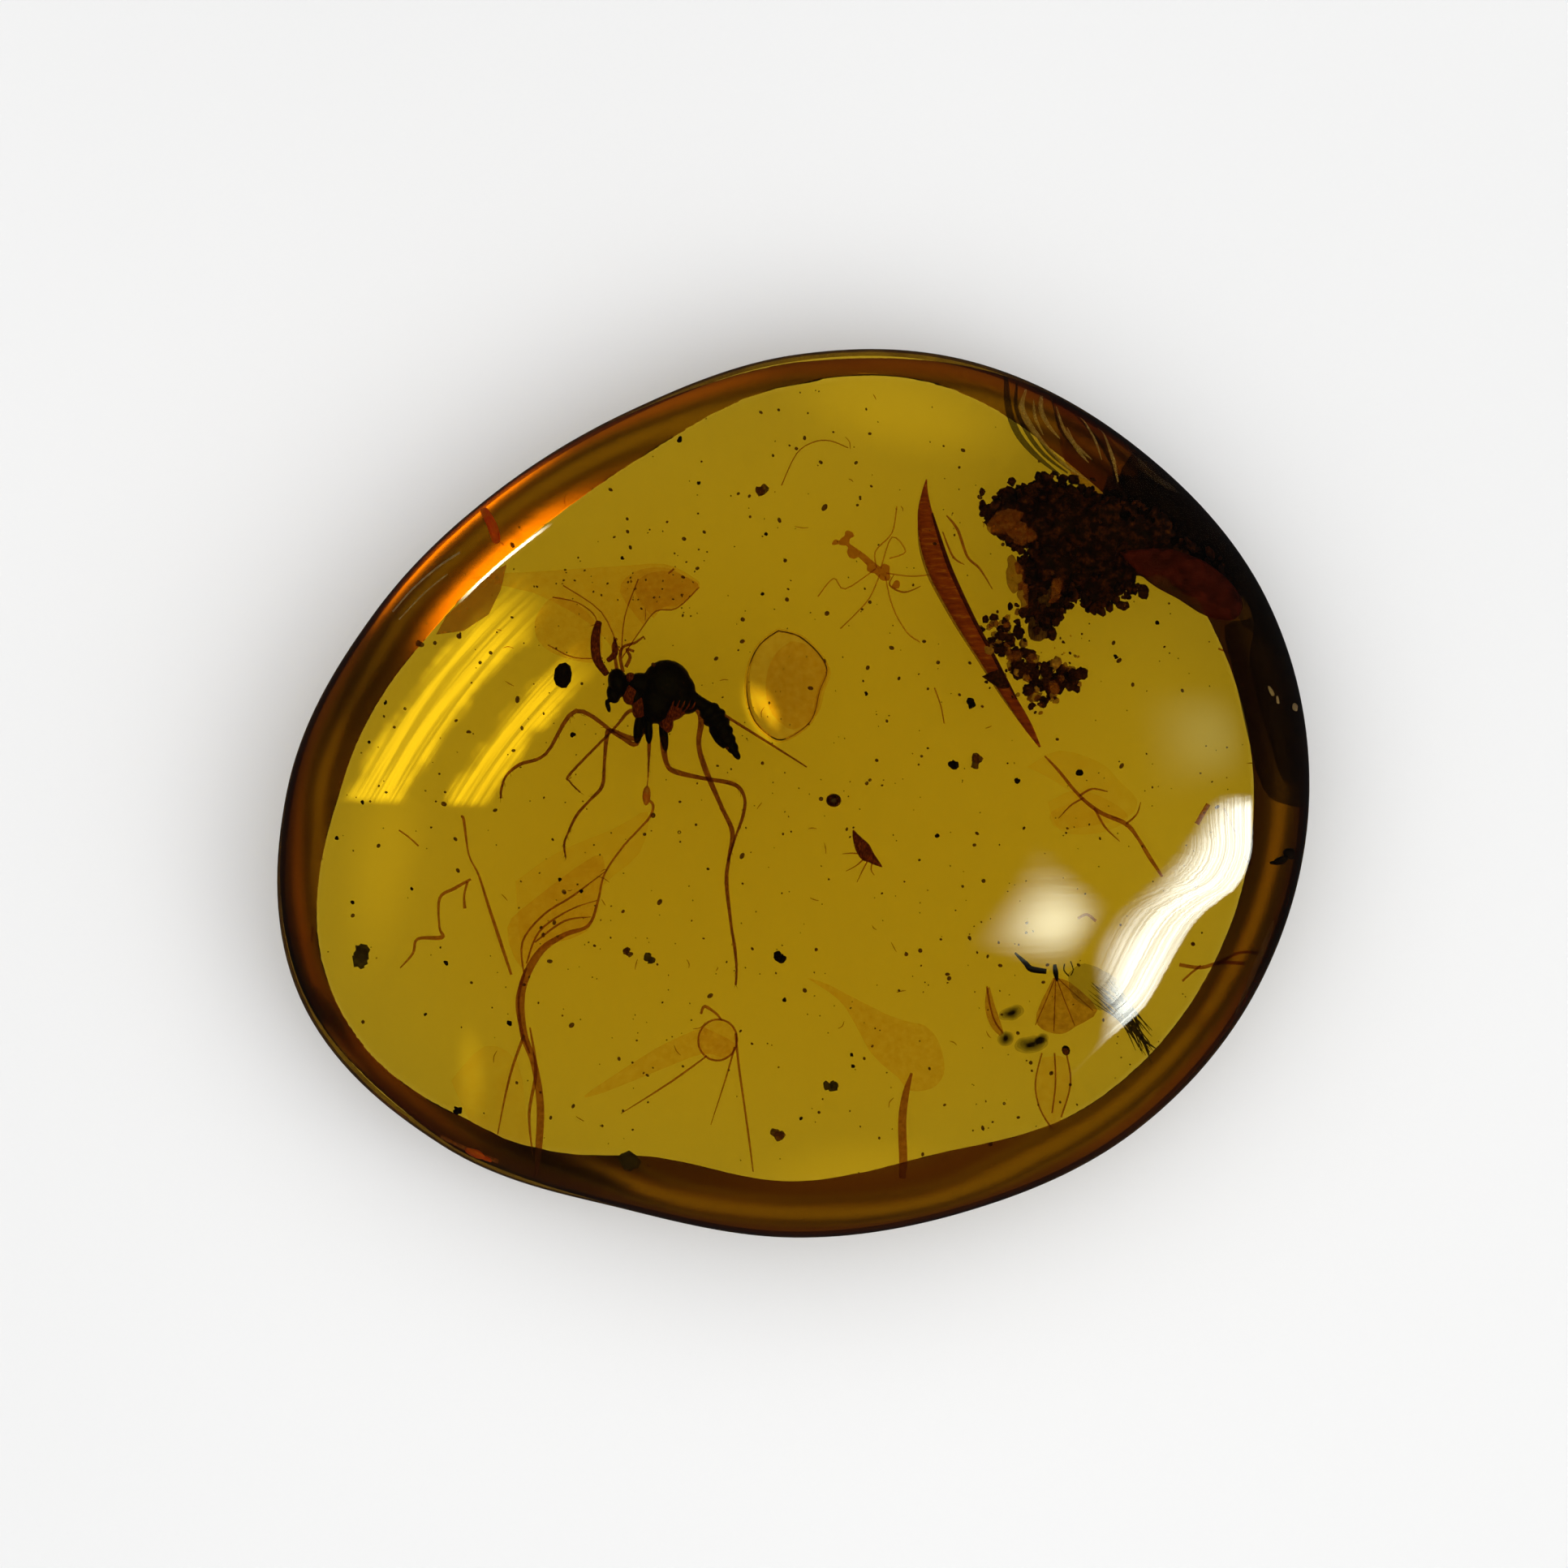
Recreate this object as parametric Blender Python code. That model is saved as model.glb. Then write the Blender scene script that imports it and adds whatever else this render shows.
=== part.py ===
"""A polished pebble of clear amber with a wasp, two small flies and plant debris sealed in it.

The stone lies on its flat underside: +X is its longest side, +Z is up through its domed top.
It is parted in two across its middle, and what is sealed in it lies in pockets there.
"""

import math
import random

import bmesh
import bpy
from mathutils import Matrix, Vector, noise

MM = 0.001

noise.seed_set(13)  # without it Blender starts its noise vectors from the clock

# The stone: radii to its widest line, and how far in the flat underside ends, every 22.5 degrees
# counter-clockwise from +X.
RIM_RADII = (12.98, 12.86, 12.27, 11.75, 11.03, 10.48, 10.68, 11.54,
             12.79, 13.48, 12.56, 11.34, 11.21, 11.41, 12.10, 12.68)
FOOT_INSETS = (2.39, 2.50, 2.47, 2.17, 2.22, 2.40, 2.56, 2.61,
               2.44, 2.02, 2.22, 2.54, 2.50, 2.62, 2.36, 2.34)
STONE_HEIGHT = 6.8
GIRDLE_HEIGHT = 2.8
DOME_FLATNESS = 3.2  # a higher power keeps the top flat further out
FLANK_CURVE = 1.6  # 1 is a straight slope under the girdle
STONE_SIDES = 58
FLANK_STEPS = 5
DOME_STEPS = 7
POLE_SHARE = 0.06  # the dome ends in one small flat face of this share of the rim

# The parting and the pockets.
PARTING_HEIGHT = 3.3
PARTING_GAP = 0.3
POCKET_CLEARANCE = 0.3

FILM_THICKNESS = 0.08
SIX_SIDES = 1  # a limb's bevel resolution
FOUR_SIDES = 0
FUSE_STUB = 0.02  # the small ball whose union closes up a piece's overlapping shapes

# Places of the insects' own origins, and of single grains, in the plane of the parting.
WASP_AT = (-3.12, 2.62)
MIDGE_AT = (2.11, 5.34)
GNAT_AT = (1.71, -1.39)
CRUSHED_FLY_AT = (6.35, -4.33)
SPORE_AT = (-5.57, 2.81)
BUBBLE_AT = (-0.25, 2.61)
BUBBLE_RADII = (0.95, 1.25, 0.24)
BUBBLE_TURN = 20.0


# ---- materials ----


def finish(name, colour, roughness, transmission=0.0, alpha=1.0, ior=1.5):
    material = bpy.data.materials.new(name)
    material.use_nodes = True
    shader = material.node_tree.nodes["Principled BSDF"]
    shader.inputs["Base Color"].default_value = (*colour, 1.0)
    shader.inputs["Roughness"].default_value = roughness
    shader.inputs["Metallic"].default_value = 0.0
    shader.inputs["Transmission Weight"].default_value = transmission
    shader.inputs["Alpha"].default_value = alpha
    shader.inputs["IOR"].default_value = ior
    return material


# ---- small modelling helpers, all in millimetres ----


def add_object(name, bm, material):
    mesh = bpy.data.meshes.new(name)
    bm.to_mesh(mesh)
    bm.free()
    mesh.materials.append(material)
    piece = bpy.data.objects.new(name, mesh)
    bpy.context.scene.collection.objects.link(piece)
    return piece


def hide_helper(helper):
    helper.hide_render = True
    helper.display_type = "WIRE"


def add_ball(bm, centre, radii, turn=0.0, fineness=2):
    """An ellipsoid in the parting plane; turn is about +Z, in degrees."""
    place = (
        Matrix.Translation(Vector((centre[0], centre[1], PARTING_HEIGHT + centre[2])) * MM)
        @ Matrix.Rotation(math.radians(turn), 4, "Z")
        @ Matrix.Diagonal((radii[0] * MM, radii[1] * MM, radii[2] * MM, 1.0))
    )
    return bmesh.ops.create_icosphere(bm, subdivisions=fineness, radius=1.0, matrix=place)["verts"]


def add_limb(bm, path, thickness, smoothness=FOUR_SIDES):
    """A round limb along flat points; thickness is one diameter, or one for each point.

    A point is (x, y) or (x, y, z), with z measured from the parting plane.
    """
    curve = bpy.data.curves.new("limb", "CURVE")
    curve.dimensions = "3D"
    curve.bevel_depth = 0.5 * MM
    curve.bevel_resolution = smoothness
    curve.use_fill_caps = True
    spline = curve.splines.new("POLY")
    spline.points.add(len(path) - 1)
    widths = thickness if isinstance(thickness, (list, tuple)) else [thickness] * len(path)
    for point, place, width in zip(spline.points, path, widths, strict=True):
        depth = place[2] if len(place) > 2 else 0.0
        point.co = (place[0] * MM, place[1] * MM, (PARTING_HEIGHT + depth) * MM, 1.0)
        point.radius = width
    guide = bpy.data.objects.new("limb", curve)
    bpy.context.scene.collection.objects.link(guide)
    bpy.context.view_layer.update()
    tube = bpy.data.meshes.new_from_object(
        guide.evaluated_get(bpy.context.evaluated_depsgraph_get())
    )
    bm.from_mesh(tube)
    bpy.data.objects.remove(guide)
    bpy.data.curves.remove(curve)
    bpy.data.meshes.remove(tube)


def add_film(bm, outline, thickness=FILM_THICKNESS, depth=0.0):
    """A thin flat membrane with the given outline, counter-clockwise or clockwise."""
    low = (PARTING_HEIGHT + depth - thickness / 2) * MM
    corners = [bm.verts.new((x * MM, y * MM, low)) for x, y in outline]
    base = bm.faces.new(corners)
    base.normal_update()
    if base.normal.z > 0:
        base.normal_flip()
    upper = bmesh.ops.extrude_face_region(bm, geom=[base])["geom"]
    raised = [item for item in upper if isinstance(item, bmesh.types.BMVert)]
    bmesh.ops.translate(bm, verts=raised, vec=(0, 0, thickness * MM))


def shifted(points, place):
    return [(point[0] + place[0], point[1] + place[1], *point[2:]) for point in points]


def fused(name, bm, material, heart):
    """One closed body from overlapping closed shapes; heart is a point inside one of them."""
    bmesh.ops.remove_doubles(bm, verts=bm.verts, dist=1e-4 * MM)
    bmesh.ops.recalc_face_normals(bm, faces=bm.faces)
    piece = add_object(name, bm, material)
    stub_mesh = bmesh.new()
    add_ball(stub_mesh, heart, (FUSE_STUB,) * 3, fineness=1)
    stub = add_object(name + "_heart", stub_mesh, material)
    hide_helper(stub)
    union = piece.modifiers.new("one body", "BOOLEAN")
    union.operation = "UNION"
    union.solver = "EXACT"
    union.use_self = True
    union.object = stub
    return piece


def roughen(verts, amount, scale, seed):
    """Moves points along a noise field, for bark, crumbs and other ragged lumps."""
    shift = Vector((seed * 3.1, seed * 7.7, seed * 1.3))
    for vert in verts:
        vert.co += noise.noise_vector(vert.co / MM * scale + shift) * amount * MM


# ---- the stone ----


def around(values, bearing):
    """A smooth closed curve through values that stand at equal bearings."""
    count = len(values)
    place = bearing / math.tau * count % count
    index = int(place)
    t = place - index
    a, b, c, d = (values[(index + step) % count] for step in (-1, 0, 1, 2))
    return 0.5 * (
        2 * b + (c - a) * t + (2 * a - 5 * b + 4 * c - d) * t**2 + (3 * b - a - 3 * c + d) * t**3
    )


def dome_height(share):
    """The top's height where the radius is this share of the rim's."""
    rise = STONE_HEIGHT - GIRDLE_HEIGHT
    return GIRDLE_HEIGHT + rise * math.sqrt(max(0.0, 1 - share**DOME_FLATNESS))


def stone_rings():
    """(radius at a bearing, height) for each ring above the underside, up to the pole."""
    rings = []
    for step in range(FLANK_STEPS - 1, -1, -1):
        down = step / FLANK_STEPS
        rings.append((
            lambda bearing, down=down: around(RIM_RADII, bearing)
            - around(FOOT_INSETS, bearing) * down**FLANK_CURVE,
            GIRDLE_HEIGHT * (1 - down),
        ))
    for step in range(1, DOME_STEPS + 1):
        share = max(POLE_SHARE, math.cos(step / DOME_STEPS * math.pi / 2))
        rings.append((
            lambda bearing, share=share: around(RIM_RADII, bearing) * share,
            dome_height(share),
        ))
    return rings


def set_ring(verts, radius_at, height):
    for vert in verts:
        bearing = math.atan2(vert.co.y, vert.co.x)
        radius = radius_at(bearing)
        vert.co = Vector((radius * math.cos(bearing), radius * math.sin(bearing), height)) * MM


def stone_mesh():
    bm = bmesh.new()
    bmesh.ops.create_circle(bm, cap_ends=True, radius=1.0, segments=STONE_SIDES)
    bm.faces.ensure_lookup_table()
    face = bm.faces[0]
    set_ring(face.verts, lambda b: around(RIM_RADII, b) - around(FOOT_INSETS, b), 0.0)
    for level, (radius_at, height) in enumerate(stone_rings()):
        made = bmesh.ops.extrude_face_region(bm, geom=[face])["geom"]
        if level:  # the first face stays as the underside
            bmesh.ops.delete(bm, geom=[face], context="FACES_ONLY")
        face = next(item for item in made if isinstance(item, bmesh.types.BMFace))
        set_ring(face.verts, radius_at, height)
    bmesh.ops.recalc_face_normals(bm, faces=bm.faces)
    # The rim's box is centred on the origin.
    for axis in (0, 1):
        sides = [vert.co[axis] for vert in bm.verts]
        step = Vector((0, 0, 0))
        step[axis] = -(min(sides) + max(sides)) / 2
        bmesh.ops.translate(bm, verts=bm.verts, vec=step)
    return bm


def stone_half(name, material, upper):
    bm = stone_mesh()
    cut = PARTING_HEIGHT + (PARTING_GAP / 2 if upper else -PARTING_GAP / 2)
    made = bmesh.ops.bisect_plane(
        bm,
        geom=bm.verts[:] + bm.edges[:] + bm.faces[:],
        plane_co=(0, 0, cut * MM),
        plane_no=(0, 0, 1),
        clear_outer=not upper,
        clear_inner=upper,
    )["geom_cut"]
    loop = [item for item in made if isinstance(item, bmesh.types.BMEdge)]
    bmesh.ops.contextual_create(bm, geom=loop)
    bmesh.ops.recalc_face_normals(bm, faces=bm.faces)
    half = add_object(name, bm, material)
    half.data.shade_smooth()
    half.data.set_sharp_from_angle(angle=math.radians(20))
    return half


def pocket_for(piece, material):
    """A straight-sided pocket round what of a piece is too thick for the parting gap."""
    thin = PARTING_GAP / 2 - 0.02
    thick = [v.co / MM for v in piece.data.vertices if abs(v.co.z / MM - PARTING_HEIGHT) > thin]
    if not thick:
        return None
    low = min(point.z for point in thick) - POCKET_CLEARANCE
    high = max(point.z for point in thick) + POCKET_CLEARANCE
    low = min(low, PARTING_HEIGHT - PARTING_GAP)
    high = max(high, PARTING_HEIGHT + PARTING_GAP)
    bm = bmesh.new()
    for point in thick:
        for corner in range(4):
            bearing = math.tau * (corner + 0.5) / 4
            x = point.x + POCKET_CLEARANCE * math.cos(bearing)
            y = point.y + POCKET_CLEARANCE * math.sin(bearing)
            for z in (low, high):
                bm.verts.new((x * MM, y * MM, z * MM))
    hull = bmesh.ops.convex_hull(bm, input=bm.verts, use_existing_faces=False)
    inside = {item for key in ("geom_interior", "geom_unused") for item in hull[key]}
    bmesh.ops.delete(
        bm, geom=[item for item in inside if isinstance(item, bmesh.types.BMVert)], context="VERTS"
    )
    bmesh.ops.dissolve_limit(
        bm, angle_limit=math.radians(9), verts=bm.verts, edges=bm.edges
    )
    bmesh.ops.triangulate(bm, faces=bm.faces)
    bmesh.ops.recalc_face_normals(bm, faces=bm.faces)
    pocket = add_object(piece.name + "_pocket", bm, material)
    hide_helper(pocket)
    return pocket


def bubble_hollow(material):
    bm = bmesh.new()
    add_ball(bm, (*BUBBLE_AT, 0), BUBBLE_RADII, turn=BUBBLE_TURN, fineness=3)
    hollow = add_object("bubble_hollow", bm, material)
    hide_helper(hollow)
    return hollow


def cut_out(half, cutter):
    cut = half.modifiers.new(cutter.name, "BOOLEAN")
    cut.operation = "DIFFERENCE"
    cut.solver = "EXACT"
    cut.object = cutter


# ---- the insects ----


def wasp(material):
    """The wasp lies on its side: head to -X, long legs and ovipositor spread below it."""
    bm = bmesh.new()

    def at(*points):
        return shifted(points, WASP_AT)

    def lump(centre, radii, turn=0.0):
        add_ball(bm, at(centre)[0], radii, turn)

    lump((0.02, 0.00, 0.0), (0.56, 0.60, 0.46), 15)  # humped thorax
    lump((-0.22, -0.62, 0.0), (0.44, 0.52, 0.40), -10)
    lump((0.36, -0.42, 0.0), (0.38, 0.36, 0.34), 30)
    lump((-0.66, 0.02, 0.0), (0.26, 0.17, 0.18), 0)  # neck
    lump((-1.06, 0.02, 0.0), (0.30, 0.36, 0.33), 10)  # head
    lump((-1.20, -0.32, 0.0), (0.16, 0.27, 0.18), 12)  # face
    lump((-0.48, -1.05, 0.0), (0.15, 0.34, 0.17), -12)  # coxae
    lump((-0.16, -1.10, 0.0), (0.13, 0.34, 0.15), 8)
    add_limb(bm, at((0.5, -0.25), (0.82, -0.38), (1.0, -0.52)), (0.24, 0.13, 0.2))  # petiole
    lump((1.12, -0.66, 0.0), (0.34, 0.25, 0.24), -48)  # gaster, narrowing to its tip
    lump((1.34, -1.00, 0.0), (0.40, 0.26, 0.22), -58)
    lump((1.58, -1.42, 0.0), (0.36, 0.15, 0.16), -60)
    add_limb(bm, at((1.5, -1.3), (1.66, -1.58), (1.78, -1.80)), (0.24, 0.14, 0.05))
    add_limb(bm, at((1.14, -0.54), (1.5, -0.75), (2.48, -1.36), (3.45, -1.97)),
             (0.12, 0.09, 0.07, 0.05))  # ovipositor
    legs = (
        (((-0.44, -0.66), (-0.73, -1.42), (-1.18, -1.22), (-2.17, -0.65), (-2.90, -1.69),
          (-3.52, -1.95), (-3.85, -2.23), (-3.97, -2.57), (-3.98, -2.77)), 0.15),
        (((-0.66, -0.60), (-0.92, -0.66), (-1.26, -1.06), (-2.31, -2.15), (-2.34, -2.35),
          (-2.09, -2.61)), 0.12),
        (((-0.44, -0.86), (-0.73, -1.30), (-1.34, -1.10), (-1.44, -1.27), (-1.50, -1.84),
          (-1.56, -2.45), (-1.87, -2.81), (-2.18, -3.17), (-2.40, -3.63), (-2.48, -3.89),
          (-2.44, -4.20)), 0.14),
        (((-0.32, -0.86), (-0.38, -1.32), (-0.43, -1.73), (-0.45, -2.14)), 0.14),
        (((-0.04, -0.76), (-0.07, -1.32), (0.02, -1.93), (0.27, -2.11), (0.94, -2.26),
          (1.66, -2.40), (1.91, -2.73), (1.87, -3.18), (1.69, -3.69), (1.51, -4.29)), 0.19),
        (((0.52, -0.42), (0.86, -0.75), (0.79, -1.42), (0.96, -2.06), (1.35, -2.97),
          (1.61, -3.58), (1.53, -4.19), (1.47, -4.80), (1.59, -5.86), (1.68, -6.38),
          (1.73, -6.91), (1.71, -7.26)), 0.17),
    )
    for path, width in legs:
        share = [1 - 0.6 * index / (len(path) - 1) for index in range(len(path))]
        add_limb(bm, at(*path), [width * part for part in share], SIX_SIDES)
    add_limb(bm, at((-1.00, 0.20), (-1.08, 0.67), (-1.00, 0.90), (-0.72, 1.00), (-0.50, 1.16)), 0.08)
    add_limb(bm, at((-1.14, 0.20), (-1.20, 0.61), (-1.25, 0.90), (-1.15, 1.10)), 0.08)
    add_limb(bm, at((-1.56, 1.50), (-1.63, 0.86), (-1.60, 0.48), (-1.36, 0.18)),
             (0.16, 0.20, 0.20, 0.16))  # root of the far wing
    # The wings: the near one long and swept back, the far one short and crumpled.
    add_film(bm, at((-1.05, 0.62), (-0.57, 1.31), (-0.19, 1.76), (0.30, 1.83), (0.86, 2.34),
                    (0.68, 2.58), (0.02, 2.82), (-1.09, 2.71), (-2.17, 2.64), (-3.70, 2.44),
                    (-2.50, 2.20), (-1.62, 1.44)))
    add_film(bm, at((-1.50, 1.30), (-2.60, 1.99), (-3.06, 1.42), (-2.52, 0.85), (-1.50, 0.62)),
             depth=0.02)
    return fused("wasp", bm, material, (WASP_AT[0], WASP_AT[1], 0.0))


def midge(material):
    """A faint fly with long thin legs, seen from above."""
    bm = bmesh.new()

    def at(*points):
        return shifted(points, MIDGE_AT)

    add_ball(bm, at((0.38, -0.25, 0.0))[0], (0.14, 0.12, 0.12), 30)
    add_ball(bm, at((0.06, 0.00, 0.0))[0], (0.26, 0.17, 0.18), -38)
    add_limb(bm, at((0.28, -0.2), (0.10, -0.05)), 0.10)
    add_limb(bm, at((0.02, 0.04), (-0.23, 0.22), (-0.46, 0.42), (-0.85, 0.72), (-1.11, 0.71)),
             (0.24, 0.22, 0.16, 0.08, 0.07))
    add_ball(bm, at((-0.86, 0.74, 0.0))[0], (0.18, 0.12, 0.12), 20, fineness=1)
    legs = (
        ((-0.08, 0.12), (-0.11, 0.50), (0.22, 0.84), (0.34, 1.08), (0.41, 1.55)),
        ((0.02, 0.10), (0.29, 0.84), (0.62, 0.50), (0.23, 0.34)),
        ((0.15, 0.0), (0.73, -0.08), (1.22, -0.05)),
        ((0.0, -0.04), (-0.25, -0.59), (-0.64, -1.02), (-0.96, -1.32)),
        ((0.13, -0.08), (0.31, -0.80), (0.65, -1.40), (0.99, -1.66)),
        ((-0.1, 0.10), (-0.84, -0.38), (-1.12, -0.13), (-1.50, -0.56)),
    )
    for path in legs:
        add_limb(bm, at(*path), 0.055)
    add_film(bm, at((-0.05, 0.12), (0.30, 0.34), (0.55, 0.42), (0.42, 0.10), (0.18, -0.02)))
    return fused("midge", bm, material, (MIDGE_AT[0] + 0.06, MIDGE_AT[1], 0.0))


def gnat(material):
    """A small dark fly with folded wings, a wedge with its legs drawn in."""
    bm = bmesh.new()

    def at(*points):
        return shifted(points, GNAT_AT)

    add_limb(bm, at((-0.22, 0.47), (-0.10, 0.22), (0.04, -0.02), (0.22, -0.22), (0.44, -0.40)),
             (0.06, 0.24, 0.40, 0.28, 0.06))
    add_ball(bm, at((0.05, -0.06, 0.0))[0], (0.24, 0.22, 0.20), -40)
    legs = (
        ((0.0, -0.10), (-0.28, -0.08), (-0.51, -0.10)),
        ((0.06, -0.18), (-0.16, -0.38), (-0.42, -0.52)),
        ((0.14, -0.22), (-0.02, -0.52), (-0.15, -0.79)),
        ((0.24, -0.26), (0.20, -0.48), (0.28, -0.62)),
    )
    for path in legs:
        add_limb(bm, at(*path), 0.06)
    return fused("gnat", bm, material, (GNAT_AT[0] + 0.05, GNAT_AT[1] - 0.06, 0.0))


def crushed_fly(material):
    """A fly broken open: a bent leg, a brown fan of wing and a string of dark segments."""
    bm = bmesh.new()

    def at(*points):
        return shifted(points, CRUSHED_FLY_AT)

    add_ball(bm, at((0.02, -0.18, 0.0))[0], (0.26, 0.32, 0.24), 15)
    add_limb(bm, at((-0.95, 0.46), (-0.72, 0.24), (-0.55, 0.10), (-0.19, 0.05), (0.02, -0.05)),
             (0.06, 0.13, 0.14, 0.11, 0.10))
    add_limb(bm, at((0.0, -0.05), (0.02, 0.20), (0.06, 0.32)), (0.12, 0.10, 0.05))
    add_film(bm, at((-0.06, -0.10), (-0.47, -0.95), (-0.32, -1.34), (0.48, -1.23),
                    (0.98, -0.84), (0.34, -0.20)), depth=0.02)
    blobs = ((-1.56, -0.47, 0.17), (-1.52, -0.86, 0.13), (-1.37, -1.25, 0.21),
             (-0.96, -0.88, 0.20), (-1.05, -1.55, 0.19), (-0.49, -1.59, 0.22))
    for x, y, radius in blobs:
        add_ball(bm, at((x, y, 0.0))[0], (radius, radius * 0.8, radius * 0.8), 40 * x, fineness=1)
    add_limb(bm, at((-1.56, -0.47), (-1.52, -0.86), (-1.37, -1.25), (-1.05, -1.55), (-0.49, -1.59),
                    (0.2, -1.78)), (0.14, 0.12, 0.16, 0.16, 0.12, 0.10))
    add_limb(bm, at((-1.37, -1.25), (-0.96, -0.88), (-0.3, -0.5), (0.0, -0.2)), 0.09)
    add_ball(bm, at((0.2, -1.78, 0.0))[0], (0.12, 0.12, 0.10), fineness=1)
    bristles = (
        ((0.30, -0.30), (0.85, 0.02), (1.87, -1.19), (2.16, -1.50), (2.39, -1.74)),
        ((1.87, -1.19), (2.03, -1.78), (2.29, -2.10)),
        ((0.10, -0.40), (0.95, -0.62), (1.62, -1.20)),
    )
    for path in bristles:
        add_limb(bm, at(*path), 0.07)
    return fused("crushed_fly", bm, material, (CRUSHED_FLY_AT[0], CRUSHED_FLY_AT[1] - 0.18, 0.0))


# ---- the plant debris ----


def bark_fragment(material):
    """A ragged plate of bark with lumps along its middle and a stem that points down."""
    bm = bmesh.new()
    outline = (
        (4.86, 6.60), (4.75, 6.89), (5.20, 7.12), (5.65, 7.33), (6.16, 7.52), (6.71, 7.29),
        (7.11, 7.17), (7.83, 7.08), (8.40, 6.88), (9.06, 6.61), (9.55, 6.05), (9.99, 5.64),
        (10.80, 5.18), (10.98, 4.55), (10.59, 4.29), (9.80, 4.72), (9.20, 4.93), (8.85, 5.23),
        (8.36, 5.60), (8.20, 5.03), (7.85, 4.78), (7.25, 4.53), (6.89, 4.85), (6.56, 4.74),
        (6.36, 4.29), (6.17, 4.00), (6.02, 3.86), (5.57, 4.02), (5.76, 4.74), (5.59, 5.45),
        (5.74, 5.85), (5.28, 6.09),
    )
    add_film(bm, outline, thickness=0.24)
    lumps = (
        (5.40, 6.66, 0.50), (6.30, 6.55, 0.78), (7.40, 6.20, 0.90), (8.50, 5.95, 0.74),
        (9.50, 5.30, 0.50), (6.30, 5.50, 0.62), (7.35, 5.30, 0.62), (5.98, 4.75, 0.36),
    )
    for index, (x, y, radius) in enumerate(lumps):
        verts = add_ball(bm, (x, y, 0.0), (radius, radius * 0.82, radius * 0.62), 37 * index)
        roughen(verts, 0.22, 1.7, index)
    return fused("bark_fragment", bm, material, (7.40, 6.20, 0.0))


def frass_lump(material):
    """Crumbs of frass stuck together under the bark."""
    bm = bmesh.new()
    draw = random.Random(7)
    spine = ((5.95, 3.10), (5.25, 3.76), (5.55, 3.25), (5.82, 2.66), (6.90, 2.65), (6.50, 3.20))
    for index, (x, y) in enumerate(spine):
        radius = 0.24 + 0.14 * draw.random()
        verts = add_ball(bm, (x, y, 0.0), (radius * 1.3, radius, radius), draw.uniform(0, 180))
        roughen(verts, 0.12, 3.0, index + 20)
        if index:
            add_limb(bm, ((x, y), spine[0]), 0.24)
    return fused("frass_lump", bm, material, (*spine[0], 0.0))


def wood_splinter(material):
    """A long curved splinter, thickest near its upper end."""
    bm = bmesh.new()
    add_limb(
        bm,
        ((3.23, 7.50), (3.20, 7.10), (3.22, 6.60), (3.37, 5.99), (3.60, 5.35), (3.88, 4.78),
         (4.26, 4.08), (4.66, 3.42), (5.02, 2.80), (5.33, 2.26), (5.70, 1.66), (6.01, 1.13)),
        (0.05, 0.22, 0.42, 0.54, 0.56, 0.50, 0.42, 0.36, 0.30, 0.26, 0.22, 0.06),
    )
    return fused("wood_splinter", bm, material, (3.60, 5.35, 0.0))


def rootlet(material):
    """The loose fibres beyond the splinter."""
    bm = bmesh.new()
    add_limb(bm, ((6.12, 0.92), (6.46, 0.55), (6.95, -0.05), (7.44, -0.45), (8.05, -0.73),
                  (8.58, -1.49), (8.90, -1.99)), (0.05, 0.08, 0.12, 0.12, 0.11, 0.10, 0.05))
    add_limb(bm, ((6.95, -0.05), (7.25, 0.12), (7.62, 0.05)), (0.10, 0.08, 0.05))
    add_limb(bm, ((7.30, -0.34), (7.55, -0.80), (7.90, -1.15)), (0.09, 0.07, 0.04))
    return fused("rootlet", bm, material, (7.44, -0.45, 0.0))


def plant_strand(material):
    """A drop of sap on a thread that runs down into a brown sheaf and its veil."""
    bm = bmesh.new()
    add_limb(bm, ((-3.57, 0.39), (-3.60, -0.08), (-3.45, -0.29), (-3.53, -0.58), (-3.85, -0.94),
                  (-4.21, -1.34), (-4.63, -1.97), (-4.78, -2.59), (-5.01, -3.40), (-5.58, -3.48),
                  (-6.14, -3.79), (-6.53, -4.44), (-6.62, -5.04), (-6.54, -5.78), (-6.29, -6.46),
                  (-6.15, -7.44), (-6.22, -8.51), (-6.32, -9.20)),
             (0.04, 0.10, 0.10, 0.09, 0.08, 0.08, 0.08, 0.10, 0.14, 0.20,
              0.26, 0.24, 0.22, 0.22, 0.20, 0.20, 0.18, 0.10))
    add_ball(bm, (-3.61, -0.06, 0.0), (0.10, 0.22, 0.10), -4)
    add_limb(bm, ((-6.54, -5.78), (-6.86, -7.53), (-7.19, -8.11)), (0.14, 0.09, 0.05))
    add_film(bm, ((-4.62, -1.80), (-4.86, -1.52), (-6.35, -2.60), (-6.96, -3.25), (-6.62, -4.20),
                  (-6.08, -3.72), (-5.05, -3.34), (-4.80, -2.55)), thickness=0.05)
    return fused("plant_strand", bm, material, (-6.53, -4.44, 0.0))


def plant_thread(material):
    bm = bmesh.new()
    add_limb(bm, ((-8.05, -0.60), (-7.98, -0.69), (-7.87, -1.51), (-7.64, -2.00), (-7.41, -2.73),
                  (-7.11, -3.63), (-6.86, -4.36)), (0.08, 0.10, 0.06, 0.07, 0.09, 0.09, 0.08))
    return fused("plant_thread", bm, material, (-7.41, -2.73, 0.0))


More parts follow.
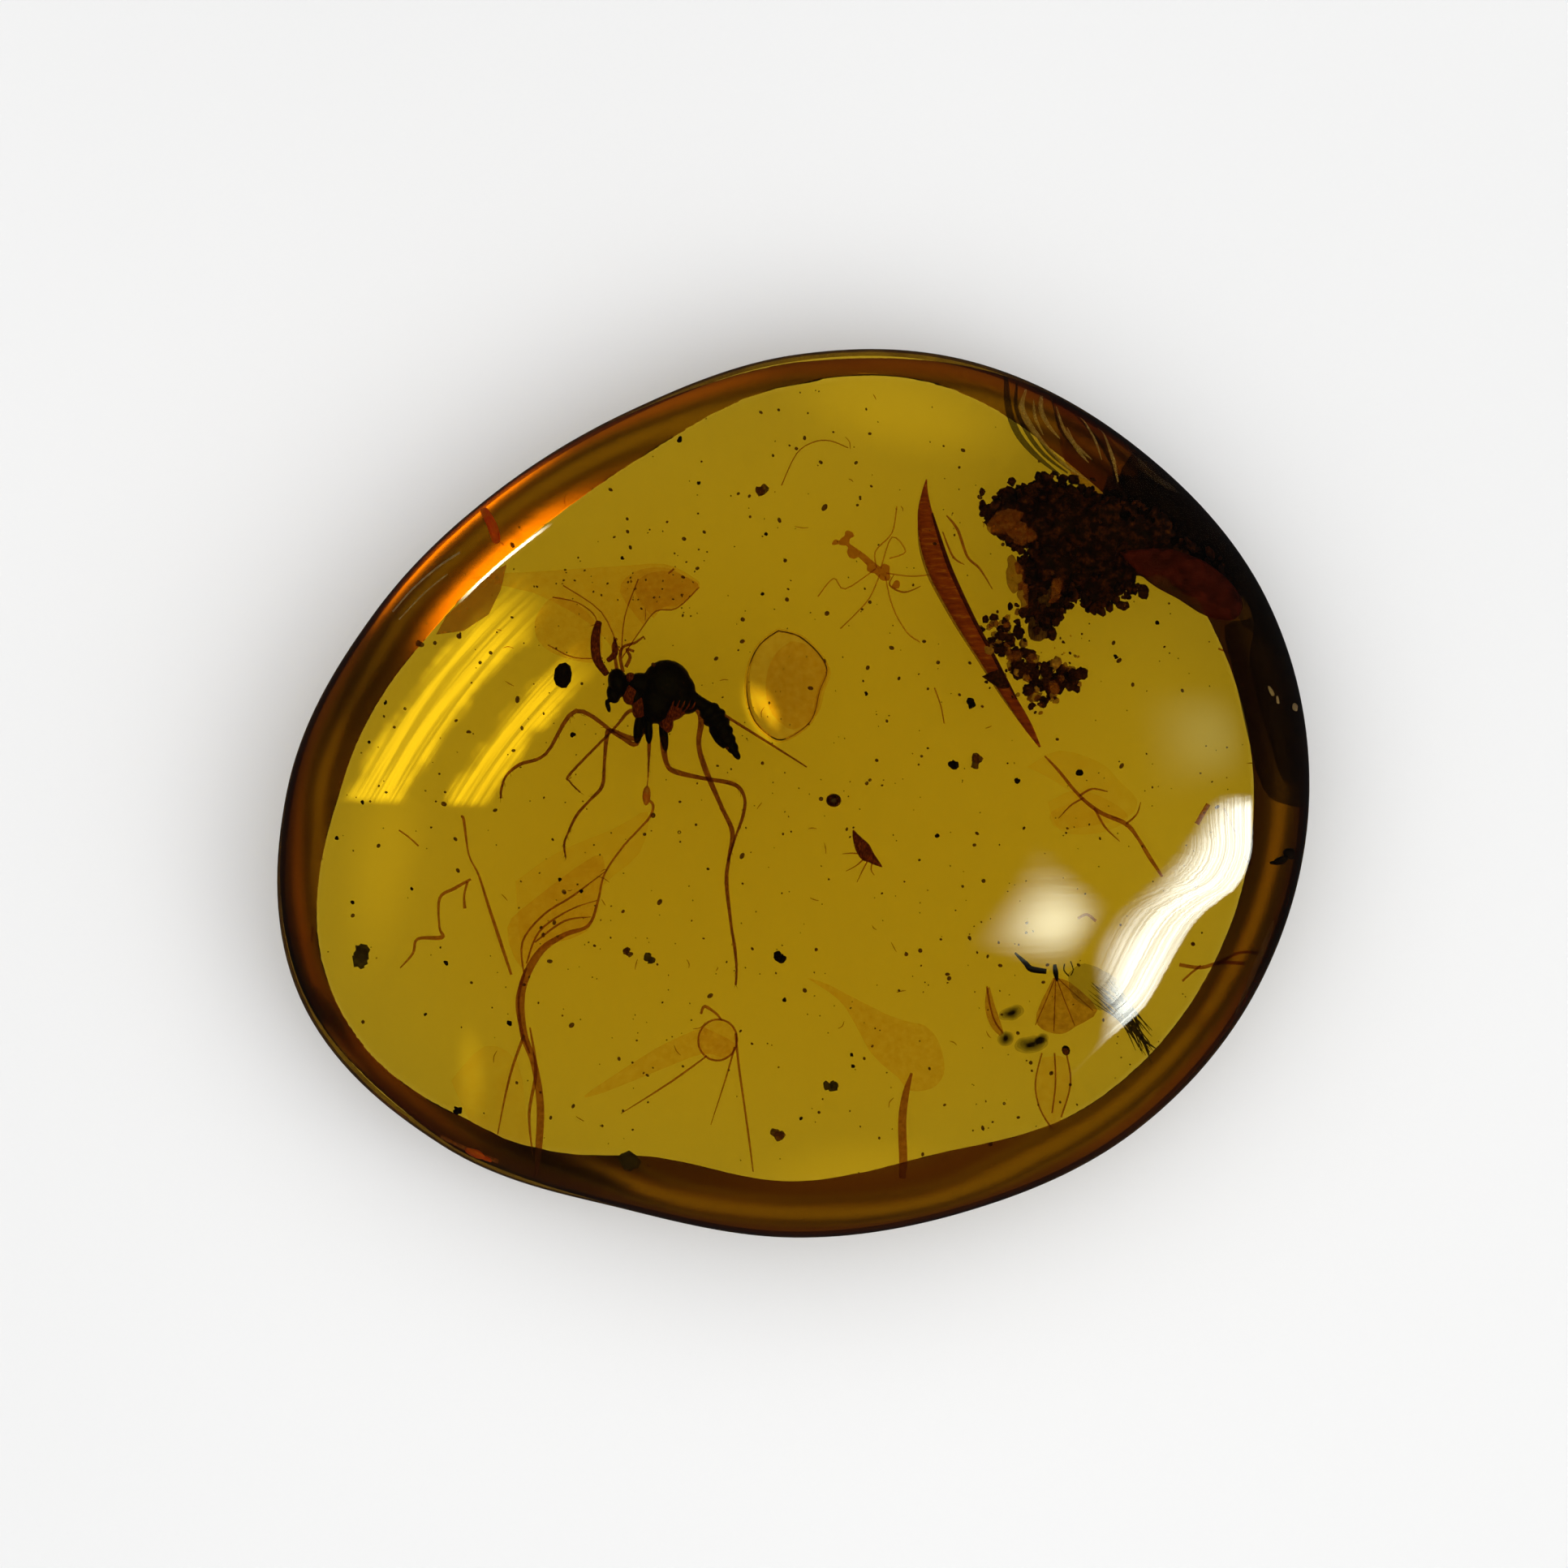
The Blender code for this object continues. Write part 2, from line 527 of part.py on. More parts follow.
def leg_fragment(material):
    """A loose jointed leg, lying apart from any insect."""
    bm = bmesh.new()
    add_limb(bm, ((-7.82, -2.10), (-8.20, -2.32), (-8.56, -2.56), (-8.57, -3.24), (-8.51, -3.48),
                  (-9.08, -3.52), (-9.20, -3.86), (-9.50, -4.20)),
             (0.12, 0.10, 0.10, 0.08, 0.12, 0.09, 0.08, 0.04))
    add_limb(bm, ((-7.90, -2.16), (-7.98, -2.48), (-7.97, -2.80)), (0.09, 0.08, 0.11))
    return fused("leg_fragment", bm, material, (-8.20, -2.32, 0.0))


def shed_wing(material):
    """A pale shed skin: a ring, its two long edges and a thin film to one side."""
    bm = bmesh.new()
    ring_centre = (-1.84, -5.93)
    ring_radius = 0.48
    ring = [
        (ring_centre[0] + ring_radius * math.cos(turn), ring_centre[1] + ring_radius * math.sin(turn))
        for turn in (math.tau * step / 14 for step in range(15))
    ]
    add_limb(bm, ring[:-1] + [(ring[-1][0], ring[-1][1] - 0.02)], 0.10)
    add_limb(bm, ((-2.26, -5.32), (-2.17, -5.14), (-1.88, -5.32), (-1.74, -5.48)), 0.11)
    add_limb(bm, ((-1.40, -5.78), (-1.32, -6.50), (-1.19, -7.33), (-1.05, -8.25), (-0.95, -9.00)),
             (0.10, 0.10, 0.09, 0.08, 0.06))
    add_limb(bm, ((-1.42, -6.10), (-1.62, -6.80), (-1.98, -7.90)), (0.09, 0.07, 0.05))
    add_film(bm, ((-2.20, -5.62), (-3.12, -5.98), (-4.20, -6.60), (-5.10, -7.19), (-4.60, -7.10),
                  (-3.30, -6.62), (-2.20, -6.25), (-1.60, -6.36), (-1.36, -6.05)), thickness=0.05)
    return fused("shed_wing", bm, material, (-1.33, -6.40, 0.0))


def bud_scale(material):
    """A pale lobed leaf scale on a straight stalk."""
    bm = bmesh.new()
    add_film(bm, ((0.34, -4.49), (1.11, -5.01), (1.50, -5.57), (1.83, -6.17), (2.20, -6.55),
                  (2.54, -6.82), (2.80, -7.10), (3.34, -7.05), (3.64, -6.72), (3.62, -6.25),
                  (3.46, -5.84), (3.18, -5.58), (2.89, -5.52), (2.50, -5.42), (2.17, -5.29),
                  (1.40, -4.92), (0.80, -4.62)))
    add_limb(bm, ((2.86, -6.70), (2.72, -7.14), (2.62, -7.79), (2.64, -8.72), (2.62, -9.15)),
             (0.10, 0.20, 0.23, 0.24, 0.24))
    return fused("bud_scale", bm, material, (2.64, -8.00, 0.0))


def pitch_flake(material):
    bm = bmesh.new()
    add_film(bm, ((-8.55, 3.70), (-8.30, 4.15), (-7.70, 4.70), (-7.20, 5.20), (-6.86, 5.36),
                  (-7.00, 4.80), (-7.30, 4.20), (-7.90, 3.80)), thickness=0.10)
    return fused("pitch_flake", bm, material, (-7.6, 4.4, 0.0))


def spore(material):
    bm = bmesh.new()
    verts = add_ball(bm, (*SPORE_AT, 0.0), (0.21, 0.33, 0.20), -12, fineness=2)
    roughen(verts, 0.05, 4.0, 3)
    return fused("spore", bm, material, (*SPORE_AT, 0.0))


def build():
    for old in list(bpy.data.objects):
        bpy.data.objects.remove(old)
    amber = finish("amber", (0.80, 0.42, 0.03), 0.05, transmission=1.0, ior=1.54)
    chitin = finish("dark chitin", (0.020, 0.010, 0.005), 0.35)
    pale_chitin = finish("pale chitin", (0.20, 0.09, 0.02), 0.4)
    bark = finish("bark", (0.022, 0.007, 0.003), 0.8)
    frass = finish("frass", (0.030, 0.014, 0.006), 0.9)
    wood = finish("red wood", (0.17, 0.035, 0.006), 0.6)
    fibre = finish("plant fibre", (0.16, 0.055, 0.008), 0.6)
    membrane = finish("pale membrane", (0.32, 0.17, 0.03), 0.45)
    pitch = finish("orange pitch", (0.45, 0.16, 0.015), 0.3)
    halves = (stone_half("amber_lower", amber, False), stone_half("amber_upper", amber, True))
    sealed = (
        wasp(chitin),
        midge(pale_chitin),
        gnat(chitin),
        crushed_fly(chitin),
        bark_fragment(bark),
        frass_lump(frass),
        wood_splinter(wood),
        rootlet(fibre),
        plant_strand(fibre),
        plant_thread(fibre),
        leg_fragment(pale_chitin),
        shed_wing(membrane),
        bud_scale(membrane),
        pitch_flake(pitch),
        spore(bark),
    )
    hollows = [pocket_for(piece, amber) for piece in sealed] + [bubble_hollow(amber)]
    for half in halves:
        for hollow in hollows:
            if hollow:
                cut_out(half, hollow)


build()
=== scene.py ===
import math
import random

import bmesh
import bpy
from mathutils import Matrix, Vector, noise


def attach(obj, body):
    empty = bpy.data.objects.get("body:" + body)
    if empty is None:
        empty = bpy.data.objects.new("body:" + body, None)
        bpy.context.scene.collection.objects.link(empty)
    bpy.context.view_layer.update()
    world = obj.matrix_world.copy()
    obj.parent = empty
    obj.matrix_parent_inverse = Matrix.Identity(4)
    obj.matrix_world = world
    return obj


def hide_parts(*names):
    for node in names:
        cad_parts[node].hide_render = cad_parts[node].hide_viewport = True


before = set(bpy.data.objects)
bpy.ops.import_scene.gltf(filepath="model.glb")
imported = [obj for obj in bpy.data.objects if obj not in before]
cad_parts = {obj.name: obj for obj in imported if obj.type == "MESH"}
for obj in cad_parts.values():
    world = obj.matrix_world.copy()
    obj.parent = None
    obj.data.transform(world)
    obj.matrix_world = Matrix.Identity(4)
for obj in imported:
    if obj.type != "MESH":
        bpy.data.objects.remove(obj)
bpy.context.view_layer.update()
noise.seed_set(11)  # without it Blender starts its noise vectors from the clock

mm = 0.001  # the pieces are made in millimetres and scaled down when they are finished
sealZ = 3.3  # most of what is sealed in lies at this height


# Small helpers

def hexColour(code):
    parts = [int(code[i:i + 2], 16) / 255 for i in (1, 3, 5)]
    linear = [c / 12.92 if c <= 0.04045 else ((c + 0.055) / 1.055) ** 2.4 for c in parts]
    return (*linear, 1.0)


def addNode(tree, kind, settings=None):
    # A setting is a property or a socket of the node; a node or a socket as its value becomes a link.
    node = tree.nodes.new(kind)
    for key, value in (settings or {}).items():
        if key == "stops":
            for index, (place, code) in enumerate(value):
                stop = node.color_ramp.elements[index] if index < 2 else node.color_ramp.elements.new(place)
                stop.position, stop.color = place, hexColour(code)
        elif key == "points":
            curve = node.mapping.curves[0]
            for index, (x, y) in enumerate(value):
                point = curve.points[index] if index < 2 else curve.points.new(x, y)
                point.location = (x, y)
            node.mapping.update()
        elif isinstance(value, (bpy.types.Node, bpy.types.NodeSocket)):
            source = value.outputs[0] if isinstance(value, bpy.types.Node) else value
            tree.links.new(source, node.inputs[key])
        elif isinstance(key, int) or key in node.inputs:
            node.inputs[key].default_value = value
        else:
            setattr(node, key, value)
    return node


def newMaterial(name):
    material = bpy.data.materials.new(name)
    material.use_nodes = True
    return material, material.node_tree, material.node_tree.nodes["Principled BSDF"]


def sealedMaterial(name, look):
    # Plant or insect matter in resin: mottled colour, uneven gloss and a fine relief, all from one grain.
    # grain and relief are in mm, stretch draws the grain out along X, turn swings it about Z in degrees.
    material, tree, shader = newMaterial(name)
    coords = addNode(tree, "ShaderNodeTexCoord")
    mapping = addNode(tree, "ShaderNodeMapping", {
        "Vector": coords.outputs["Object"], "Rotation": (0.0, 0.0, math.radians(-look.get("turn", 0.0))),
        "Scale": (1 / look.get("stretch", 1.0), 1.0, 1.0)})
    grain = addNode(tree, "ShaderNodeTexNoise", {
        "Vector": mapping, "Scale": 1 / (look["grain"] * mm), "Detail": 4.0, "Roughness": 0.6})
    colour = addNode(tree, "ShaderNodeValToRGB", {"Fac": grain, "stops": look["stops"]})
    rough = addNode(tree, "ShaderNodeMapRange", {
        "Value": grain, "To Min": look["gloss"][0], "To Max": look["gloss"][1]})
    bump = addNode(tree, "ShaderNodeBump", {
        "Height": grain, "Strength": 0.6, "Distance": look.get("relief", 0.01) * mm})
    tree.links.new(colour.outputs["Color"], shader.inputs["Base Color"])
    tree.links.new(rough.outputs["Result"], shader.inputs["Roughness"])
    tree.links.new(bump.outputs["Normal"], shader.inputs["Normal"])
    shader.inputs["Alpha"].default_value = look.get("alpha", 1.0)
    if "through" in look:  # a skin that only tints what lies behind it; resin on both sides, so it bends nothing
        shader.inputs["Transmission Weight"].default_value = look["through"]
        shader.inputs["IOR"].default_value = 1.0
    shader.inputs["Specular IOR Level"].default_value = look.get("specular", 0.1)
    return material


def newPiece(name, bm, material, voxel=0.0):
    mesh = bpy.data.meshes.new(name)
    bm.to_mesh(mesh)
    bm.free()
    if voxel:
        mesh = remeshed(mesh, voxel)
        mesh.name = name
    if name != "amberStone":
        keepInStone(mesh)
    mesh.transform(Matrix.Scale(mm, 4))
    mesh.materials.clear()
    mesh.materials.append(material)
    mesh.shade_smooth()
    piece = bpy.data.objects.new(name, mesh)
    bpy.context.scene.collection.objects.link(piece)
    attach(piece, "root")
    return piece


def remeshed(mesh, voxel):
    # Overlapping shapes become one skin, with the creases between them softened.
    helper = bpy.data.objects.new("helper", mesh)
    bpy.context.scene.collection.objects.link(helper)
    skin = helper.modifiers.new("skin", "REMESH")
    skin.mode, skin.voxel_size = "VOXEL", voxel
    soften = helper.modifiers.new("soften", "SMOOTH")
    soften.factor, soften.iterations = 0.5, 4
    bpy.context.view_layer.update()
    whole = bpy.data.meshes.new_from_object(helper.evaluated_get(bpy.context.evaluated_depsgraph_get()))
    bpy.data.objects.remove(helper)
    return whole


def smoothRoute(points, steps):
    # Points of any length, joined by a Catmull-Rom curve.
    if steps < 2:
        return [list(point) for point in points]
    ends = [points[0], *points, points[-1]]
    route = []
    for a, b, c, d in zip(ends, ends[1:], ends[2:], ends[3:]):
        for step in range(steps):
            t = step / steps
            route.append([
                0.5 * (2 * q + (r - p) * t + (2 * p - 5 * q + 4 * r - s) * t**2
                       + (3 * q - p - 3 * r + s) * t**3)
                for p, q, r, s in zip(a, b, c, d)])
    route.append(list(points[-1]))
    return route


def addLimb(bm, path, widths, sides=7, steps=4, flat=1.0):
    # A closed round limb along the path; flat under 1 presses it down.
    widths = widths if isinstance(widths, (list, tuple)) else [widths] * len(path)
    knots = [(p[0], p[1], p[2] if len(p) > 2 else sealZ, w) for p, w in zip(path, widths)]
    route = smoothRoute(knots, steps)
    spots = [Vector(knot[:3]) for knot in route]
    face, before = None, None
    for index, spot in enumerate(spots):
        ahead = (spots[min(index + 1, len(spots) - 1)] - spots[max(index - 1, 0)]).normalized()
        side = Vector((ahead.y, -ahead.x, 0.0))
        side = side.normalized() if side.length > 1e-4 else Vector((1.0, 0.0, 0.0))
        lift = side.cross(ahead)
        half = max(route[index][3], 0.004) / 2
        place = Matrix.Translation(spot) @ Matrix((side * half, lift * half * flat, ahead)).transposed().to_4x4()
        if face is None:
            ring = bmesh.ops.create_circle(bm, cap_ends=True, radius=1.0, segments=sides, matrix=place)["verts"]
            face = ring[0].link_faces[0]
        else:
            made = bmesh.ops.extrude_face_region(bm, geom=[face])["geom"]
            if index > 1:
                bmesh.ops.delete(bm, geom=[face], context="FACES_ONLY")
            face = next(item for item in made if isinstance(item, bmesh.types.BMFace))
            bmesh.ops.transform(bm, matrix=place @ before.inverted(), verts=face.verts)
        before = place


def keepInStone(mesh):
    # Whatever is sealed in more than 8 mm from the middle is kept at least 0.1 mm inside the stone's side.
    for vert in mesh.vertices:
        away, limit = math.hypot(vert.co.x, vert.co.y), 0.0
        if away > 8.0:
            limit = stoneRadius(math.atan2(vert.co.y, vert.co.x), vert.co.z) - 0.1
        if away > limit > 0.0:
            vert.co.x, vert.co.y = vert.co.x * limit / away, vert.co.y * limit / away


def addBlob(bm, centre, radii, turn=0.0, tilt=0.0, detail=3):
    x, y, z = centre if len(centre) > 2 else (*centre, sealZ)
    place = (Matrix.Translation((x, y, z)) @ Matrix.Rotation(math.radians(turn), 4, "Z")
             @ Matrix.Rotation(math.radians(tilt), 4, "Y") @ Matrix.Diagonal((*radii, 1.0)))
    return bmesh.ops.create_icosphere(bm, subdivisions=detail, radius=1.0, matrix=place)["verts"]


def addFilm(bm, outline, thickness=0.03, z=sealZ, steps=3, cuts=0, wave=0.0, slope=(0.0, 0.0)):
    # A thin sheet with a rounded outline; wave and slope lift it out of its plane.
    route = smoothRoute([*outline, outline[0]], steps)[:-1]
    base = bm.faces.new([bm.verts.new((x, y, z)) for x, y in route])
    base.normal_update()
    if base.normal.z < 0:
        base.normal_flip()
    faces = bmesh.ops.triangulate(bm, faces=[base])["faces"]
    if cuts:
        edges = {edge for face in faces for edge in face.edges}
        inner = bmesh.ops.subdivide_edges(bm, edges=list(edges), cuts=cuts, use_grid_fill=True)["geom_inner"]
        faces = list({face for item in inner if item.is_valid for face in getattr(item, "link_faces", [])}
                     | {face for face in faces if face.is_valid})
    x0, y0 = outline[0]
    for vert in {vert for face in faces for vert in face.verts}:
        ripple = noise.noise(Vector((vert.co.x * 1.6, vert.co.y * 1.6, z * 3))) * wave
        vert.co.z += ripple + slope[0] * (vert.co.x - x0) + slope[1] * (vert.co.y - y0)
    lower = bmesh.ops.duplicate(bm, geom=faces)
    turned = [item for item in lower["geom"] if isinstance(item, bmesh.types.BMFace)]
    bmesh.ops.reverse_faces(bm, faces=turned)
    bmesh.ops.translate(bm, verts=[item for item in lower["geom"] if isinstance(item, bmesh.types.BMVert)],
                        vec=(0.0, 0.0, -thickness))
    rims = [edge for face in faces + turned for edge in face.edges if len(edge.link_faces) == 1]
    bmesh.ops.bridge_loops(bm, edges=list(set(rims)))


def roughen(verts, amount, grain, seed):
    # grain is the size of the lumps in mm
    shift = Vector((seed * 3.1, seed * 7.7, seed * 1.3))
    for vert in verts:
        vert.co += noise.noise_vector(vert.co / grain + shift) * amount


def shifted(points, place):
    return [(p[0] + place[0], p[1] + place[1], *p[2:]) for p in points]


# Camera, light and floor

stage = {
    "lens": 100.0,  # mm, on a 36 mm sensor
    "viewWidth": 39.46,  # mm of the plane through the stone that fills the picture
    "focusHeight": 3.0,
    "aside": (-0.235, 0.235),  # the stone lies a little off the middle of the picture
    "floorSize": 1500.0,
    "floorGap": 0.05,
    "floorColours": ("#ececec", "#f2f2f2"),
}

lamps = {
    # azimuth from +X and height of the lamp in degrees, distance and size in m, power in W;
    # soft is the share of each side that fades, reach what the lamp lights or shows in
    "window": {"azimuth": -24.0, "height": 38.0, "away": 0.5, "size": (0.60, 0.50), "power": 25.0, "soft": 0.01,
               "reach": ("glossy",), "colour": "#fbfff4"},
    "milkyPane": {"azimuth": -31.0, "height": 68.0, "away": 0.5, "size": (0.080, 0.150), "power": 0.5, "soft": 0.48,
                  "reach": ("glossy",), "colour": "#ffffe0"},
    "hazePane": {"azimuth": 8.0, "height": 41.0, "away": 0.5, "size": (0.13, 0.36), "power": 0.23, "soft": 0.48,
                 "reach": ("glossy",), "colour": "#f2ffb8"},
    "lowWindow": {"azimuth": -38.0, "height": 5.0, "away": 0.5, "size": (0.30, 0.15), "power": 0.95, "soft": 0.4,
                  "reach": ("transmission",), "colour": "#ffb870"},
    "farWindow": {"azimuth": 133.0, "height": 21.0, "away": 0.5, "size": (0.110, 0.022), "power": 0.26, "soft": 0.3,
                  "reach": ("glossy",), "colour": "#fff4d8"},
    "ceiling": {"azimuth": 0.0, "height": 90.0, "away": 0.9, "size": (3.0, 3.0), "power": 12.0, "soft": 0.15,
                "reach": ("transmission",), "colour": "#ffffff"},
    "roomFill": {"azimuth": 0.0, "height": 90.0, "away": 0.7, "size": (2.6, 2.6), "power": 13.5, "soft": 0.15,
                 "reach": ("diffuse",), "colour": "#ffffff"},
    "tableFill": {"azimuth": 0.0, "height": 90.0, "away": 0.8, "size": (2.0, 2.0), "power": 9.6, "soft": 0.15,
                  "reach": ("diffuse",), "colour": "#ffffff"},
    "sideFill": {"azimuth": -25.0, "height": 45.0, "away": 0.6, "size": (0.5, 0.5), "power": 0.9, "soft": 0.15,
                 "reach": ("diffuse",), "colour": "#ffffff"},
}

windowEdges = {
    # azimuth and height in degrees, seen from the stone
    "low": ((-60, 28), (-52, 34), (-45, 36), (-37, 34.5), (-31, 36), (-24, 36), (-21, 34), (-18, 29), (-15, 21), (-11, 17.5),
            (-5, 20), (2, 21)),
    "high": ((-60, 29), (-52, 36), (-48, 38), (-44, 43), (-41, 48), (-37, 56), (-32, 60), (-26, 60), (-21, 58), (-16, 54.5),
             (-8, 48), (-4, 44), (2, 37)),
    "ends": (-57.0, -1.0),
}

room = {
    # strength of a dim room, of what the stone mirrors of it, and of the broad glows that come through the
    # stone: azimuth and height in degrees, spread, strength
    "dim": 0.045,
    "mirrored": 0.015,
    "seen": 0.85,
    "glows": ((-105.0, 20.0, 50.0, 0.30), (98.0, 15.0, 40.0, 0.12), (22.0, 12.0, 30.0, 0.30),
              (-30.0, 5.0, 60.0, 0.16), (142.0, 15.0, 30.0, 0.20), (-58.0, 8.0, 24.0, 0.40)),
    "colour": "#ffb884",
}

paintedFocusedLight = {
    # Painted light: emission on the table under the stone's left side that stands in for the window light the stone
    # gathers there, in two curved bands, in mm.
    "centre": (5.0, -8.0),
    "bands": ((16.62, 0.45), (14.97, 0.34)),  # radius of the middle and half width
    "lowEdge": -0.35,
    "fromAngle": 130.0,
    "toAngle": 138.0,
    "strength": 0.85,
    "colour": "#ffe040",
    "underStone": 0.23,  # painted light: emission standing in for window light that comes down through the whole stone
    # painted light spots for what the bubble and the rim gather: x, y, half length, half width, turn in degrees,
    # strength
    "spots": ((-0.80, 1.98, 1.02, 0.46, 115.0, 0.95), (-7.62, -6.30, 1.3, 0.45, 100.0, 0.16),
              (-9.6, -1.6, 3.2, 1.0, 80.0, 0.10), (1.5, -8.6, 3.5, 0.9, 5.0, 0.10), (2.6, 8.6, 3.6, 1.0, -10.0, 0.12)),
}


def makeCamera():
    data = bpy.data.cameras.new("camera")
    data.lens, data.sensor_width, data.clip_start = stage["lens"], 36.0, 0.001
    camera = bpy.data.objects.new("camera", data)
    away = stage["viewWidth"] * stage["lens"] / data.sensor_width
    camera.location = (stage["aside"][0] * mm, stage["aside"][1] * mm, (stage["focusHeight"] + away) * mm)
    bpy.context.scene.collection.objects.link(camera)
    bpy.context.scene.camera = camera


def pointing(azimuth, height):
    azimuth, height = math.radians(azimuth), math.radians(height)
    return Vector((math.cos(azimuth) * math.cos(height), math.sin(azimuth) * math.cos(height), math.sin(height)))


def windowMask(tree, strength):
    # Keeps the lamp to the window's outline and crosses it with fine streaks.
    place = addNode(tree, "ShaderNodeNewGeometry").outputs["Position"]
    direction = addNode(tree, "ShaderNodeVectorMath", {"operation": "NORMALIZE", 0: place})
    parts = addNode(tree, "ShaderNodeSeparateXYZ", {"Vector": direction})
    turn = addNode(tree, "ShaderNodeMath", {"operation": "ARCTAN2", 0: parts.outputs["Y"], 1: parts.outputs["X"]})
    rise = addNode(tree, "ShaderNodeMath", {"operation": "ARCSINE", 0: parts.outputs["Z"]})
    # as shares of 60 and 90 degrees
    along = addNode(tree, "ShaderNodeMapRange", {"Value": turn, "From Min": math.radians(-60), "From Max": 0.0})
    height = addNode(tree, "ShaderNodeMath", {"operation": "DIVIDE", 0: rise, 1: math.pi / 2})
    low, high = (addNode(tree, "ShaderNodeFloatCurve", {
        "Value": along, "points": [((azimuth + 60) / 60, degrees / 90) for azimuth, degrees in windowEdges[name]]})
        for name in ("low", "high"))
    above = addNode(tree, "ShaderNodeMath", {"operation": "SUBTRACT", 0: height, 1: low})
    below = addNode(tree, "ShaderNodeMath", {"operation": "SUBTRACT", 0: high, 1: height})
    across = addNode(tree, "ShaderNodeCombineXYZ", {"X": along, "Y": above})
    drawn = addNode(tree, "ShaderNodeMapping", {"Vector": across, "Scale": (1.2, 105.0, 1.0)})
    streaks = addNode(tree, "ShaderNodeTexNoise", {"Vector": drawn, "Scale": 1.0, "Detail": 3.0})
    start, end = windowEdges["ends"]
    for value, none, full, least in (
            (above, 0.0, 0.02, 0.0), (below, 0.0, 0.15, 0.0), (streaks, 0.40, 0.60, 0.50),
            (turn, math.radians(start), math.radians(start + 6), 0.0),
            (turn, math.radians(end), math.radians(end - 3), 0.0)):
        limit = addNode(tree, "ShaderNodeMapRange", {
            "interpolation_type": "SMOOTHSTEP", "Value": value, "From Min": none, "From Max": full, "To Min": least})
        strength = addNode(tree, "ShaderNodeMath", {"operation": "MULTIPLY", 0: limit, 1: strength})
    return strength


def makeLamp(name, lamp):
    data = bpy.data.lights.new(name, "AREA")
    data.shape, data.energy = "RECTANGLE", lamp["power"]
    data.size, data.size_y = lamp["size"]
    data.color = hexColour(lamp["colour"])[:3]
    data.use_nodes = True
    tree = data.node_tree
    parts = addNode(tree, "ShaderNodeSeparateXYZ", {
        "Vector": addNode(tree, "ShaderNodeNewGeometry").outputs["Parametric"]})
    strength = 1.0
    for side in ("X", "Y"):
        centred = addNode(tree, "ShaderNodeMath", {"operation": "SUBTRACT", 0: parts.outputs[side], 1: 0.5})
        away = addNode(tree, "ShaderNodeMath", {"operation": "ABSOLUTE", 0: centred})
        fade = addNode(tree, "ShaderNodeMapRange", {
            "interpolation_type": "SMOOTHSTEP", "Value": away, "From Min": 0.5, "From Max": 0.5 - lamp["soft"]})
        strength = addNode(tree, "ShaderNodeMath", {"operation": "MULTIPLY", 0: fade, 1: strength})
    if name == "window":
        strength = windowMask(tree, strength)
    tree.links.new(strength.outputs[0], tree.nodes["Emission"].inputs["Strength"])
    light = bpy.data.objects.new(name, data)
    bpy.context.scene.collection.objects.link(light)
    away = pointing(lamp["azimuth"], lamp["height"])
    light.location = away * lamp["away"]
    light.rotation_euler = away.to_track_quat("Z", "Y").to_euler()
    light.visible_camera = False
    light.visible_diffuse = "diffuse" in lamp["reach"]
    light.visible_glossy = "glossy" in lamp["reach"]
    light.visible_transmission = "transmission" in lamp["reach"]


def makeWorld():
    world = bpy.data.worlds.new("room")
    bpy.context.scene.world = world
    world.use_nodes = True
    tree = world.node_tree
    direction = addNode(tree, "ShaderNodeTexCoord").outputs["Generated"]
    strength = room["dim"]
    for azimuth, height, spread, amount in room["glows"]:
        towards = addNode(tree, "ShaderNodeVectorMath", {
            "operation": "DOT_PRODUCT", 0: direction, 1: pointing(azimuth, height)})
        glow = addNode(tree, "ShaderNodeMapRange", {
            "interpolation_type": "SMOOTHSTEP", "Value": towards.outputs["Value"],
            "From Min": math.cos(math.radians(spread)), "From Max": 1.0, "To Max": amount})
        strength = addNode(tree, "ShaderNodeMath", {"operation": "ADD", 0: glow, 1: strength})
    rays = addNode(tree, "ShaderNodeLightPath")
    through = addNode(tree, "ShaderNodeMix", {
        0: rays.outputs["Is Transmission Ray"], 2: room["mirrored"], 3: strength})
    seen = addNode(tree, "ShaderNodeMix", {0: rays.outputs["Is Camera Ray"], 2: through, 3: room["seen"]})
    tint = addNode(tree, "ShaderNodeValToRGB", {
        "Fac": rays.outputs["Is Transmission Ray"], "stops": [(0.0, "#ffffff"), (1.0, room["colour"])]})
    tree.links.new(seen.outputs[0], tree.nodes["Background"].inputs["Strength"])
    tree.links.new(tint.outputs["Color"], tree.nodes["Background"].inputs["Color"])


